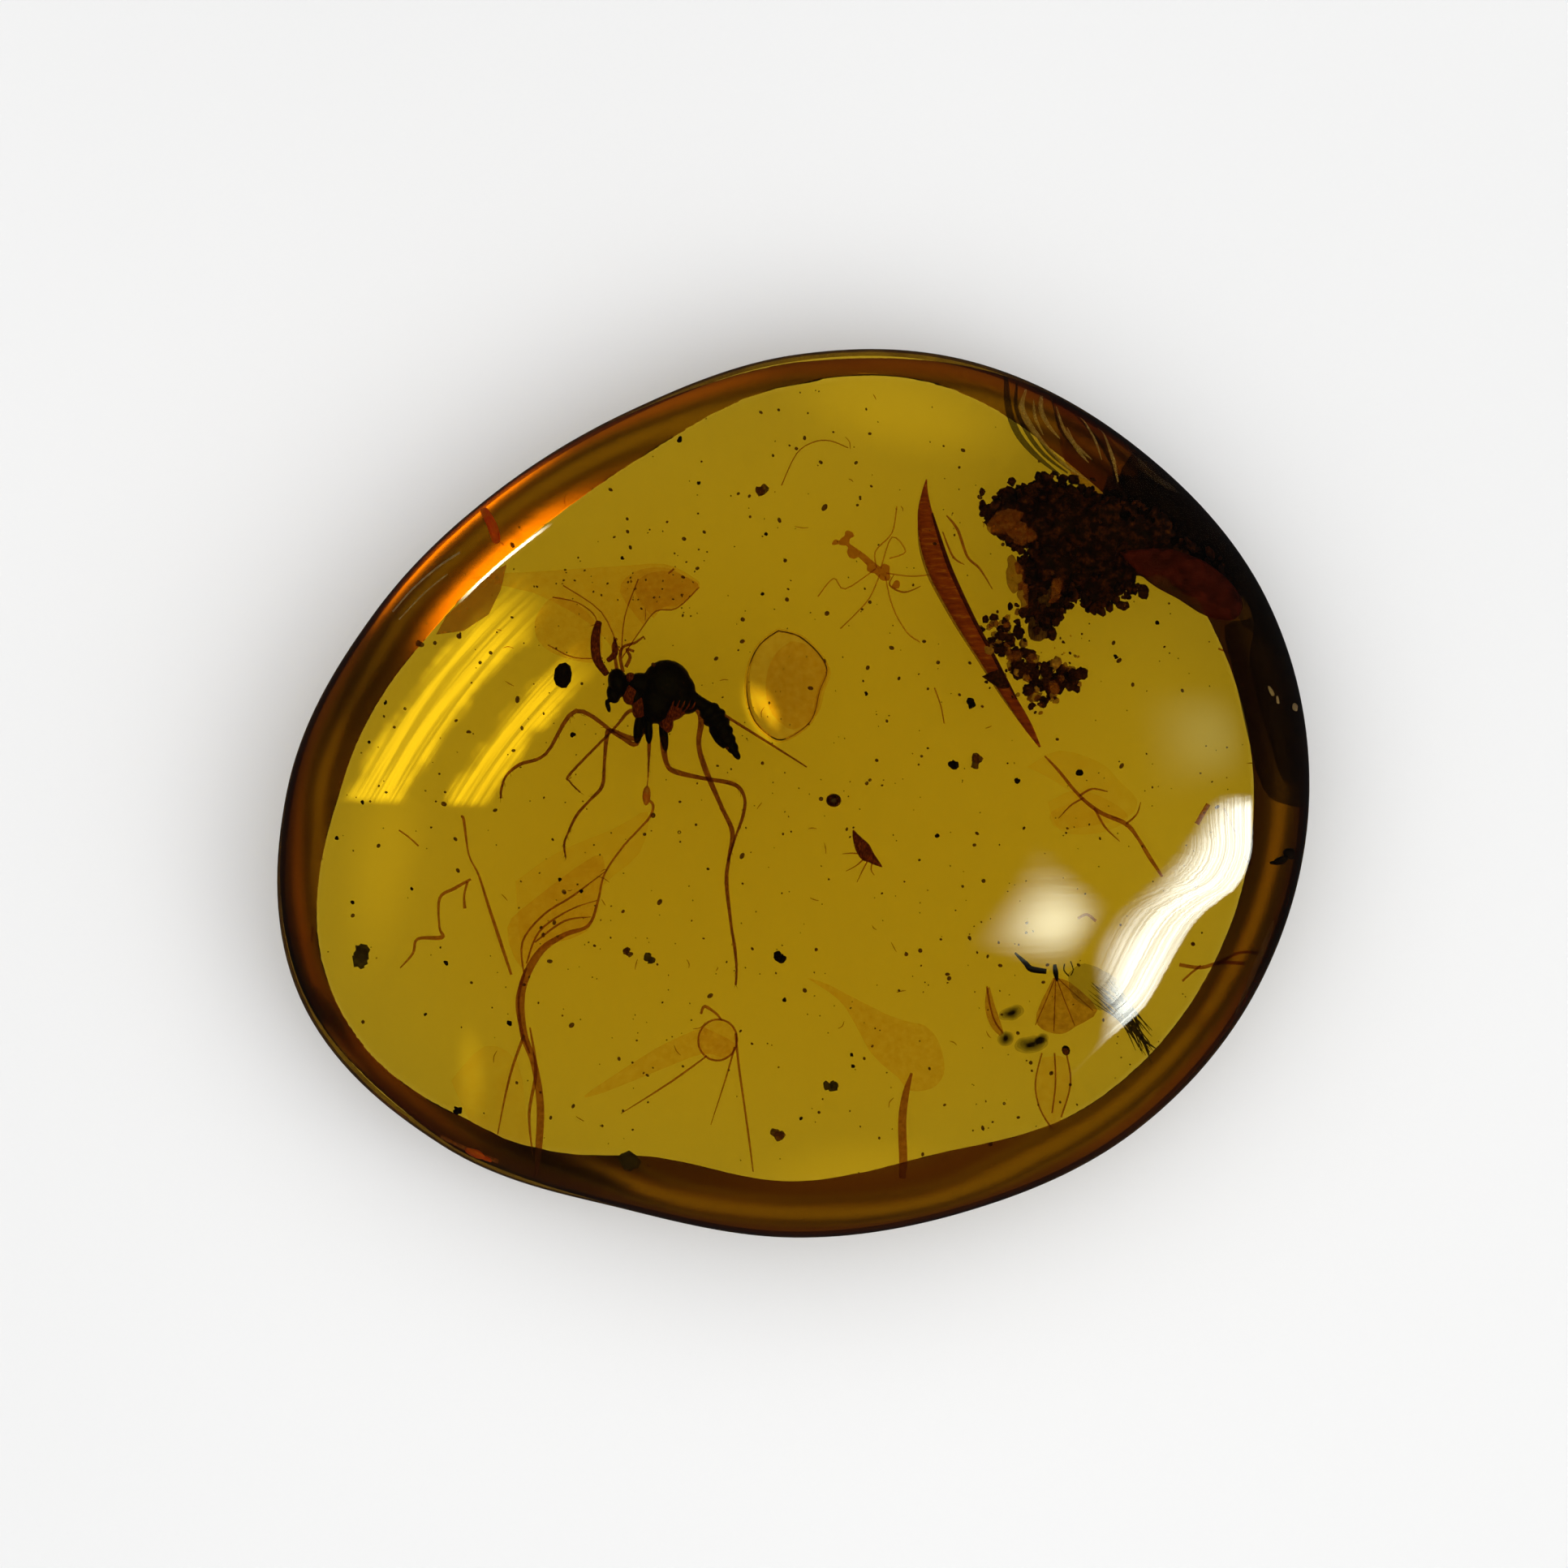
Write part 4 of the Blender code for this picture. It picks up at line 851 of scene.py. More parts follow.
def makeCrushedFly():
    place = crushedFly["at"]
    bm = bmesh.new()
    addLimb(bm, shifted([(-0.97, 0.48), (-0.72, 0.24), (-0.58, 0.10), (-0.22, 0.05)], place),
            (0.05, 0.12, 0.15, 0.12), 8, 4)
    addLimb(bm, shifted([(-0.02, 0.22), (0.00, 0.02), (0.04, -0.18)], place), (0.08, 0.13, 0.05), 8, 3)
    addLimb(bm, shifted([(0.22, 0.24), (0.20, 0.08), (0.32, -0.06)], place), 0.035, 6, 3)
    addLimb(bm, shifted([(0.36, 0.30), (0.42, 0.10), (0.36, -0.04)], place), 0.03, 6, 3)
    addBlob(bm, (*shifted([(0.22, -1.80)], place)[0], sealZ), (0.10, 0.12, 0.1), 20, detail=2)
    leg = newPiece("crushedFlyLeg", bm, waspCuticle)
    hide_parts("crushed_fly")
    bm = bmesh.new()
    addFilm(bm, shifted(crushedFly["fan"], place), 0.02, sealZ, 3, 3, 0.12)
    newPiece("crushedFlyWing", bm, fanFilm)
    bm = bmesh.new()
    for tip in ((-0.50, -1.22), (-0.06, -1.36), (0.44, -1.22), (0.88, -0.86)):
        addLimb(bm, shifted([(0.0, -0.06), (tip[0] * 0.45, tip[1] * 0.5), tip], place), 0.03, 6, 3)
    newPiece("crushedFlyVeins", bm, veinSkin)
    bm = bmesh.new()
    addFilm(bm, shifted(crushedFly["smear"], place), 0.02, sealZ + 0.1, 3, 3, 0.12)
    newPiece("crushedFlySmear", bm, greyFilm)
    bm = bmesh.new()
    for x, y, rx, ry, turn in crushedFly["spots"]:
        for layer in range(5):  # soft edges, from shells one inside the other
            share = 1.25 - 0.22 * layer
            roughen(addBlob(bm, (x + place[0], y + place[1], sealZ - 0.3), (rx * share, ry * share, 0.13 * share), turn,
                            detail=3), 0.04, 0.2, x)
    newPiece("crushedFlySpots", bm, mouldShell)
    bm = bmesh.new()
    addLimb(bm, shifted([(-1.62, -0.35), (-1.58, -0.80), (-1.46, -1.18), (-1.30, -1.45)], place),
            (0.08, 0.24, 0.26, 0.12), 8, 4)
    newPiece("crushedFlyLobe", bm, fanFilm)
    bm = bmesh.new()
    draw = random.Random(5)
    for _ in range(26):
        x, y = draw.uniform(0.75, 1.35), draw.uniform(-0.65, -0.10)
        end = Vector((2.02 + draw.uniform(-0.14, 0.30), -1.50 + draw.uniform(-0.42, 0.22), 0.0))
        middle = Vector((x, y, 0.0)).lerp(end, 0.5) + Vector((0.10, 0.04, 0.0))
        addLimb(bm, shifted([(x, y, sealZ + 0.1), (middle.x, middle.y, sealZ + 0.14),
                             (end.x, end.y, sealZ + draw.uniform(0.0, 0.15))], place), (0.01, 0.04, 0.012), 5, 4)
    for tip in ((2.29, -2.12), (2.40, -1.76), (2.20, -1.90)):
        addLimb(bm, shifted([(1.80, -1.20), (2.05, -1.52), tip], place), (0.08, 0.09, 0.02), 6, 4)
    newPiece("bristleTuft", bm, mossGrain)
    bm = bmesh.new()
    addFilm(bm, ((6.02, -6.30), (5.84, -6.90), (5.95, -7.50), (6.28, -8.05), (6.50, -7.60), (6.68, -6.90), (6.55, -6.30)),
            0.02, sealZ, 3, 2, 0.08)
    newPiece("flyMembrane", bm, wingFilm)
    bm = bmesh.new()
    for path in (((6.00, -6.20), (5.84, -6.90), (5.95, -7.50), (6.26, -8.00)), ((6.58, -6.20), (6.68, -6.90), (6.46, -7.70)),
                 ((6.30, -6.20), (6.32, -6.90), (6.24, -7.60))):
        addLimb(bm, path, 0.045, 6, 4)
    newPiece("flyMembraneVeins", bm, veinSkin)


# Bark, frass and the splinter

bark = {
    "outline": (
        (4.86, 6.60), (4.75, 6.89), (5.20, 7.12), (5.65, 7.33), (6.16, 7.52), (6.71, 7.29),
        (7.11, 7.17), (7.83, 7.08), (8.40, 6.88), (9.06, 6.61), (9.55, 6.05), (9.99, 5.64),
        (10.70, 5.18), (10.80, 4.62), (10.45, 4.39), (9.80, 4.72), (9.20, 4.93), (8.85, 5.23),
        (8.36, 5.60), (8.20, 5.03), (7.85, 4.78), (7.25, 4.53), (6.89, 4.85), (6.56, 4.74),
        (6.36, 4.29), (6.17, 4.00), (5.76, 4.30), (5.76, 4.74), (5.59, 5.45),
        (5.74, 5.85), (5.28, 6.09)),
    "lumps": ((5.40, 6.66, 0.50), (6.30, 6.55, 0.78), (7.40, 6.20, 0.90), (8.40, 5.95, 0.72),
              (9.20, 5.60, 0.55), (6.30, 5.50, 0.58), (7.35, 5.25, 0.62), (7.80, 5.20, 0.44)),
    "stem": ((6.20, 6.30), (6.16, 5.40), (6.02, 4.50), (5.96, 3.70)),
}


def makeBark():
    bm = bmesh.new()
    addFilm(bm, bark["outline"], 0.30, sealZ + 0.15, 2, 1)
    for index, (x, y, radius) in enumerate(bark["lumps"]):
        verts = addBlob(bm, (x, y, sealZ), (radius, radius * 0.82, radius * 0.62), 37 * index)
        roughen(verts, 0.20, 0.6, index)
        roughen(verts, 0.08, 0.2, index + 40)
    piece = newPiece("barkPlate", bm, pineBark, 0.055)
    draw = Vector((3.0, 1.0, 2.0))
    for vert in piece.data.vertices:  # cracks and flakes
        spot = vert.co / mm
        vert.co += vert.normal * (noise.noise(spot * 2.4 + draw) * 0.15 + noise.noise(spot * 7.0) * 0.10) * mm
    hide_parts("bark_fragment")
    edge = smoothRoute([*bark["outline"], bark["outline"][0]], 8)
    draw = random.Random(31)
    for name, material, count, biggest, spread in (
            ("barkCrumbs", pineBark, 330, 0.11, 0.10), ("barkBrownCrumbs", frassCrumb, 150, 0.13, 0.16)):
        bm = bmesh.new()
        for _ in range(count):
            x, y = draw.choice(edge)
            if x > 8.2 and (name != "barkCrumbs" or y < 5.4):
                continue
            radius = biggest * draw.uniform(0.3, 1.0)
            roughen(addBlob(bm, (x + draw.gauss(0, spread), y + draw.gauss(0, spread), sealZ + draw.uniform(-0.2, 0.4)),
                            (radius * draw.uniform(0.8, 2.0), radius, radius * 0.8), draw.uniform(0, 180), detail=2),
                    radius * 0.7, 0.09, draw.random() * 9)
        newPiece(name, bm, material)
    bm = bmesh.new()
    addLimb(bm, bark["stem"], (0.50, 0.66, 0.62, 0.22), 14, 12, 0.5)
    roughen(bm.verts, 0.22, 0.35, 9)
    newPiece("barkStem", bm, drownedBast, 0.04)
    bm = bmesh.new()
    for x, y, rx, ry, turn in ((5.25, 6.55, 0.42, 0.30, 20), (5.62, 6.25, 0.36, 0.22, -20),
                               (5.45, 5.25, 0.20, 0.42, 10), (5.70, 4.70, 0.16, 0.40, 0), (6.44, 4.85, 0.16, 0.30, 0)):
        roughen(addBlob(bm, (x - 0.10, y, sealZ + 0.35), (rx, ry, 0.20), turn, detail=4), 0.14, 0.25, x)
    newPiece("barkFringe", bm, orangeBast)
    bm = bmesh.new()
    addFilm(bm, ((7.90, 5.80), (9.14, 5.90), (10.30, 5.50), (11.00, 4.80), (10.80, 4.25), (10.10, 4.26), (9.30, 4.70),
                 (8.60, 5.10)), 0.1, sealZ + 0.75, 3, 2, 0.16)
    newPiece("barkRedTissue", bm, redTissue)


frass = {
    "heaps": (
        # x, y, spread, crumbs, biggest radius
        (4.92, 3.86, 0.42, 26, 0.13), (5.30, 3.60, 0.34, 18, 0.13), (5.20, 4.25, 0.30, 10, 0.08),
        (5.62, 3.10, 0.30, 22, 0.15), (6.10, 2.75, 0.50, 34, 0.15), (6.72, 2.80, 0.30, 20, 0.13),
        (6.05, 2.20, 0.34, 18, 0.08), (5.35, 2.70, 0.40, 10, 0.06), (6.62, 3.50, 0.40, 10, 0.05),
        (4.80, 2.72, 0.22, 5, 0.05)),
}


def makeFrass():
    draw = random.Random(23)
    kinds = [bmesh.new() for _ in range(3)]
    for x, y, spread, count, biggest in frass["heaps"]:
        for _ in range(count):
            bearing, away = draw.uniform(0, math.tau), spread * math.sqrt(draw.random())
            radius = biggest * draw.uniform(0.35, 1.0)
            bm = kinds[draw.choices((0, 1, 2), (5, 3, 1))[0]]
            verts = addBlob(bm, (x + away * math.cos(bearing), y + away * math.sin(bearing), sealZ + draw.uniform(-0.3, 0.3)),
                            (radius * 1.3, radius, radius), draw.uniform(0, 180), detail=2)
            roughen(verts, radius * 0.7, 0.09, draw.random() * 9)
    dark = newPiece("frassCrumbs", kinds[0], frassCrumb)
    newPiece("frassBrownCrumbs", kinds[1], orangeBast)
    newPiece("frassPaleCrumbs", kinds[2], paleBast)
    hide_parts("frass_lump")
    bm = bmesh.new()
    addFilm(bm, ((4.60, 2.84), (5.05, 3.02), (5.22, 2.62), (5.02, 2.56)), 0.12, sealZ + 0.5, 2)
    newPiece("woodWedge", bm, frassCrumb)


splinter = {
    "path": ((3.23, 7.52), (3.19, 7.20), (3.20, 6.70), (3.33, 6.05), (3.56, 5.38), (3.86, 4.78),
             (4.24, 4.08), (4.64, 3.42), (5.00, 2.80), (5.33, 2.26), (5.70, 1.66), (6.01, 1.13)),
    "widths": (0.03, 0.16, 0.38, 0.52, 0.54, 0.50, 0.44, 0.38, 0.32, 0.27, 0.22, 0.05),
}


def makeSplinter():
    bm = bmesh.new()
    addLimb(bm, splinter["path"], splinter["widths"], 14, 6, 0.45)
    piece = newPiece("splinterWood", bm, heartwood)
    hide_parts("wood_splinter")
    bm = bmesh.new()
    edge = [(x + 0.44 * w, y + 0.12 * w, sealZ + 0.06) for (x, y), w in zip(splinter["path"][2:10], splinter["widths"][2:10])]
    addLimb(bm, edge, (0.04, 0.10, 0.12, 0.11, 0.10, 0.09, 0.08, 0.03), 8, 4, 0.6)
    newPiece("splinterEdge", bm, darkHeartwood)
    bm = bmesh.new()
    side = [(x - 0.40 * w, y - 0.12 * w, sealZ - 0.02) for (x, y), w in zip(splinter["path"][2:11], splinter["widths"][2:11])]
    addLimb(bm, side, (0.06, 0.16, 0.20, 0.20, 0.18, 0.16, 0.14, 0.12, 0.04), 8, 4, 0.4)
    newPiece("splinterFray", bm, orangeBast)


# Threads, veils and scales

threads = {
    "rootlet": (
        (((6.12, 0.92), (6.46, 0.55), (6.95, -0.05), (7.44, -0.45), (8.05, -0.73), (8.35, -1.10), (8.58, -1.49),
          (8.90, -1.99)), (0.04, 0.07, 0.08, 0.10, 0.11, 0.08, 0.10, 0.06)),
        (((6.95, -0.05), (7.25, 0.12), (7.62, 0.05)), (0.06, 0.05, 0.03)),
        (((7.30, -0.34), (7.55, -0.80), (7.90, -1.15)), (0.06, 0.05, 0.02)),
        (((7.05, -0.10), (6.75, -0.28), (6.45, -0.60)), (0.05, 0.04, 0.02)),
        (((8.05, -0.73), (8.30, -0.50), (8.40, -0.20)), (0.05, 0.04, 0.02)),
    ),
    "strand": (
        (((-3.57, 0.39), (-3.60, -0.08), (-3.45, -0.29), (-3.53, -0.58), (-3.85, -0.94), (-4.21, -1.34),
          (-4.63, -1.97), (-4.78, -2.59), (-5.01, -3.20), (-5.58, -3.42), (-6.14, -3.79), (-6.53, -4.44),
          (-6.62, -5.04), (-6.54, -5.78), (-6.29, -6.46), (-6.15, -7.44), (-6.22, -8.51), (-6.32, -9.20)),
         (0.02, 0.05, 0.07, 0.06, 0.05, 0.05, 0.05, 0.06, 0.08, 0.12, 0.17, 0.20, 0.17, 0.18, 0.16, 0.18, 0.16, 0.05)),
        (((-6.54, -5.78), (-6.86, -6.70), (-7.19, -8.11)), (0.08, 0.06, 0.03)),
        (((-6.50, -4.20), (-6.70, -4.90), (-6.62, -5.60), (-6.40, -6.20)), (0.04, 0.10, 0.08, 0.04)),
        (((-6.40, -5.60), (-6.25, -6.60), (-6.42, -7.60), (-6.36, -8.60)), (0.04, 0.08, 0.07, 0.03)),
        (((-4.60, -1.90), (-5.40, -2.50), (-6.10, -2.95), (-6.60, -3.60), (-6.55, -4.40)), (0.02, 0.05, 0.05, 0.05, 0.04)),
        (((-4.80, -2.60), (-5.50, -2.85), (-6.20, -3.35), (-6.50, -4.10)), (0.02, 0.04, 0.05, 0.04)),
        (((-4.95, -3.00), (-5.60, -3.10), (-6.30, -3.60)), (0.02, 0.05, 0.04)),
    ),
    "veil": ((-4.62, -1.80), (-4.86, -1.52), (-6.35, -2.60), (-6.96, -3.25), (-6.62, -4.20),
             (-6.08, -3.72), (-5.05, -3.34), (-4.80, -2.55)),
    "rootVeils": (
        ((5.71, 0.65), (6.46, 1.05), (7.44, 0.75), (7.86, 0.35), (8.31, -0.15), (8.11, -0.55), (7.34, -0.75),
         (6.46, -0.85), (6.26, -0.45), (6.85, -0.15), (6.46, 0.25)),
        ((6.20, -0.20), (6.90, 0.10), (7.70, -0.20), (8.10, -0.60), (7.40, -0.95), (6.50, -0.90))),
    "flowVeils": (
        ((-6.76, -2.15), (-5.78, -1.46), (-4.39, -0.86), (-3.59, -0.46), (-3.79, -1.47), (-4.69, -2.27), (-4.87, -3.07),
         (-5.76, -3.46), (-6.54, -4.04)),
        ((-8.26, -6.78), (-7.48, -5.99), (-6.68, -6.38), (-6.46, -7.74), (-6.38, -8.75), (-6.97, -8.35), (-7.57, -8.17))),
    "midFibres": (
        (((3.71, 6.68), (3.98, 6.34), (4.22, 5.71), (4.52, 5.42), (4.83, 4.93)), (0.03, 0.07, 0.06, 0.05, 0.02)),
        (((3.62, 6.30), (3.87, 5.72), (4.15, 5.52)), (0.03, 0.05, 0.02)),
        (((3.10, 5.02), (2.70, 4.88), (2.35, 5.05), (2.45, 5.30)), (0.02, 0.04, 0.04, 0.02))),
    "leg": (
        (((-7.82, -2.10), (-8.20, -2.32), (-8.56, -2.56), (-8.57, -3.24), (-8.51, -3.48), (-9.08, -3.52),
          (-9.20, -3.86), (-9.50, -4.20)), (0.06, 0.08, 0.07, 0.05, 0.10, 0.07, 0.06, 0.03)),
        (((-7.90, -2.16), (-7.98, -2.48), (-7.97, -2.80)), (0.06, 0.05, 0.08)),
    ),
    "thread": (
        (((-8.05, -0.60), (-7.98, -0.69), (-7.87, -1.51), (-7.64, -2.00), (-7.41, -2.73), (-7.11, -3.63),
          (-6.86, -4.36)), (0.05, 0.07, 0.04, 0.05, 0.07, 0.08, 0.06)),
    ),
    "shed": (
        (((-2.26, -5.32), (-2.17, -5.14), (-1.88, -5.32), (-1.74, -5.48)), (0.06, 0.08, 0.06, 0.04)),
        (((-1.40, -5.78), (-1.32, -6.50), (-1.19, -7.33), (-1.05, -8.25), (-0.95, -9.00)),
         (0.06, 0.06, 0.05, 0.05, 0.03)),
        (((-1.42, -6.10), (-1.62, -6.80), (-1.98, -7.90)), (0.05, 0.04, 0.02)),
        (((-2.10, -6.30), (-3.00, -6.90), (-4.20, -7.60)), (0.04, 0.05, 0.02)),
    ),
    "shedFilm": ((-2.20, -5.62), (-3.12, -5.98), (-4.20, -6.60), (-5.10, -7.19), (-4.60, -7.10),
                 (-3.30, -6.62), (-2.20, -6.25), (-1.60, -6.36), (-1.36, -6.05)),
    "scale": ((0.34, -4.49), (1.11, -5.01), (1.50, -5.57), (1.83, -6.17), (2.20, -6.55), (2.54, -6.82),
              (2.80, -7.10), (3.34, -7.05), (3.64, -6.72), (3.62, -6.25), (3.46, -5.84), (3.18, -5.58),
              (2.89, -5.52), (2.50, -5.42), (2.17, -5.29), (1.40, -4.92), (0.80, -4.62)),
    "stalk": ((2.86, -6.70), (2.72, -7.14), (2.62, -7.79), (2.64, -8.72), (2.62, -9.15)),
}


def makeThreads():
    def bundle(name, paths, material, node=None):
        bm = bmesh.new()
        for path, widths in paths:
            addLimb(bm, path, widths, 8, 5)
        piece = newPiece(name, bm, material)
        if node:
            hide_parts(node)
        return piece

    def sheet(name, outline, material, slotName, z=sealZ, wave=0.12, thickness=0.02):
        bm = bmesh.new()
        addFilm(bm, outline, thickness, z, 3, 3, wave)
        return newPiece(name, bm, material)

    bundle("rootletFibres", threads["rootlet"], rootFibre, "rootlet")
    bundle("strandFibres", threads["strand"], rootFibre, "plant_strand")
    sheet("strandVeil", threads["veil"], paleFilm, "membrane")
    for index, outline in enumerate(threads["rootVeils"]):
        sheet("rootVeil%d" % index, outline, stainFilm, "membrane", sealZ - 0.2 * index)
    for index, outline in enumerate(threads["flowVeils"]):
        sheet("flowVeil%d" % index, outline, stainFilm, "membrane", sealZ - 0.4)
    bundle("midFibres", threads["midFibres"], rootFibre)
    bm = bmesh.new()
    # painted highlight: a drop painted bright orange that stands in for a glint
    addBlob(bm, (-3.61, -0.06, sealZ), (0.10, 0.24, 0.10), -4)
    newPiece("glintDrop", bm, glintDrop)
    bundle("looseLeg", threads["leg"], veinSkin, "leg_fragment")
    bundle("threadFibre", threads["thread"], rootFibre, "plant_thread")
    bm = bmesh.new()
    ring = [(-1.84 + 0.48 * math.cos(turn), -5.93 + 0.48 * math.sin(turn))
            for turn in (math.tau * step / 20 for step in range(21))]
    addLimb(bm, ring, 0.05, 7, 2)
    for path, widths in threads["shed"]:
        addLimb(bm, path, widths, 7, 4)
    shed = newPiece("shedSkinEdges", bm, veinSkin)
    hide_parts("shed_wing")
    sheet("shedSkinFilm", threads["shedFilm"], paleFilm, "membrane")
    sheet("shedSkinRing", [(x, y) for x, y in ring[:-1:2]], paleFilm, "membrane")
    scale = sheet("budScaleBlade", threads["scale"], paleFilm, "membrane")
    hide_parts("bud_scale")
    bm = bmesh.new()
    addLimb(bm, threads["stalk"], (0.06, 0.16, 0.20, 0.20, 0.16), 8, 4, 0.5)
    newPiece("budScaleStalk", bm, rootFibre)


# The crack beside the bark, painted shade that darkens the right rim, painted glints and glows on the rim, and marks
# near the surface

flaws = {
    "shell": ((5.34, 10.60), (6.23, 10.60), (7.38, 10.10), (8.84, 9.05), (9.90, 7.90), (8.52, 7.41), (7.36, 7.46),
              (6.44, 7.64), (5.75, 8.59), (5.45, 9.60)),
    "haze": ((8.60, 9.02), (9.42, 8.53), (10.06, 7.98), (9.60, 7.50), (8.60, 7.87)),
    "gold": ((6.30, 9.60), (7.00, 9.40), (7.60, 8.70), (8.20, 7.90), (8.60, 7.20), (7.80, 7.00), (6.90, 7.30), (6.40, 8.30)),
    "darkEdges": (
        (((5.28, 10.36), (5.21, 9.41), (5.40, 8.68), (5.84, 8.12), (6.43, 7.64)), (0.10, 0.18, 0.17, 0.13, 0.05)),
        (((5.58, 10.31), (5.41, 9.36), (5.65, 8.68), (6.06, 8.12), (6.63, 7.68)), (0.05, 0.10, 0.12, 0.09, 0.04)),
        (((6.39, 9.84), (6.44, 8.93), (6.78, 8.39), (7.29, 7.99)), (0.03, 0.08, 0.10, 0.04)),
        (((6.90, 9.37), (7.38, 8.68), (7.75, 7.93), (7.84, 7.35)), (0.03, 0.09, 0.12, 0.04)),
        (((5.81, 8.69), (6.20, 8.18), (6.71, 7.73)), (0.04, 0.10, 0.04))),
    "brightEdges": (
        (((5.78, 10.02), (5.58, 9.44), (5.68, 9.02), (5.95, 8.59), (6.36, 8.12)), (0.05, 0.14, 0.18, 0.12, 0.04)),
        (((6.24, 10.10), (6.07, 9.41), (6.19, 8.96), (6.48, 8.57)), (0.04, 0.14, 0.12, 0.03)),
        (((5.91, 9.65), (5.89, 9.12), (6.07, 8.65)), (0.03, 0.09, 0.03)),
        (((6.50, 9.54), (6.57, 8.95), (6.82, 8.48), (7.26, 8.07)), (0.03, 0.09, 0.12, 0.03)),
        (((6.69, 8.91), (6.86, 8.39), (7.17, 7.98)), (0.03, 0.10, 0.03)),
        (((7.68, 9.21), (7.74, 8.57), (7.83, 8.04), (7.89, 7.51)), (0.03, 0.08, 0.11, 0.03)),
        (((7.15, 9.35), (7.38, 8.68), (7.51, 8.09)), (0.03, 0.07, 0.03)),
        (((6.20, 8.28), (6.60, 7.89), (7.16, 7.53)), (0.03, 0.10, 0.03))),
    "shade": (
        ((8.21, 8.17), (9.24, 7.74), (10.14, 6.74), (10.95, 5.75), (11.69, 4.55), (12.21, 3.15), (12.49, 1.55),
         (12.53, -0.15), (11.79, -0.25), (11.23, 0.15), (10.85, 1.53), (10.54, 2.90), (10.34, 3.98), (11.00, 4.19),
         (10.53, 4.92), (9.32, 5.69), (8.33, 6.43), (7.80, 7.40)),
        ((8.32, 7.73), (9.21, 7.51), (10.09, 6.51), (10.92, 5.53), (11.65, 4.35), (12.15, 2.95), (12.33, 1.54),
         (12.34, 0.35), (11.79, 0.35), (11.37, 1.53), (10.98, 3.10), (11.11, 4.20), (10.60, 5.04), (9.38, 5.85),
         (8.49, 6.62)),
        ((7.60, 7.60), (8.80, 7.60), (10.09, 6.51), (10.92, 5.53), (11.65, 4.35), (11.90, 3.60), (10.90, 4.05),
         (10.50, 4.90), (9.40, 5.60), (8.20, 5.90), (7.40, 6.60))),
    "soot": ((11.73, -1.57, 0.20, 0.10, 20), (11.98, -1.43, 0.14, 0.16, 60), (11.52, -1.64, 0.10, 0.05, 0)),
    "scratch": ((10.80, -5.45), (11.02, -4.85), (11.32, -4.02), (11.56, -3.42), (11.68, -3.06)),
    "glints": ((11.54, 2.46, 0.13, 0.05, 120), (11.72, 2.25, 0.10, 0.04, 100), (12.30, 2.10, 0.11, 0.09, 0)),
    "crease": ((-7.72, 6.94), (-7.50, 6.92), (-7.12, 6.40), (-7.02, 5.96), (-7.20, 5.92), (-7.38, 6.36)),
    "highlightStreaks": (
        (((-9.90, 4.46), (-9.40, 5.00), (-8.75, 5.50), (-8.15, 5.84)), 0.07),
        (((-9.65, 4.20), (-9.00, 4.84), (-8.42, 5.28)), 0.04)),
    "glowSpots": ((-7.76, -8.60, 0.26, 0.12, -20), (-7.50, -8.72, 0.16, 0.07, -20)),
    "glowing": (((-10.40, -7.30), (-10.00, -7.60), (-9.45, -7.88)), ((-8.60, -8.22), (-8.20, -8.40), (-7.20, -8.76))),
    "bubbleEdge": 0.09,
    "shadeRings": ((0.12, 0.56, 2.60), (0.13, 0.70, 2.66), (0.14, 0.84, 2.72)),  # outer and inner inset, height
}


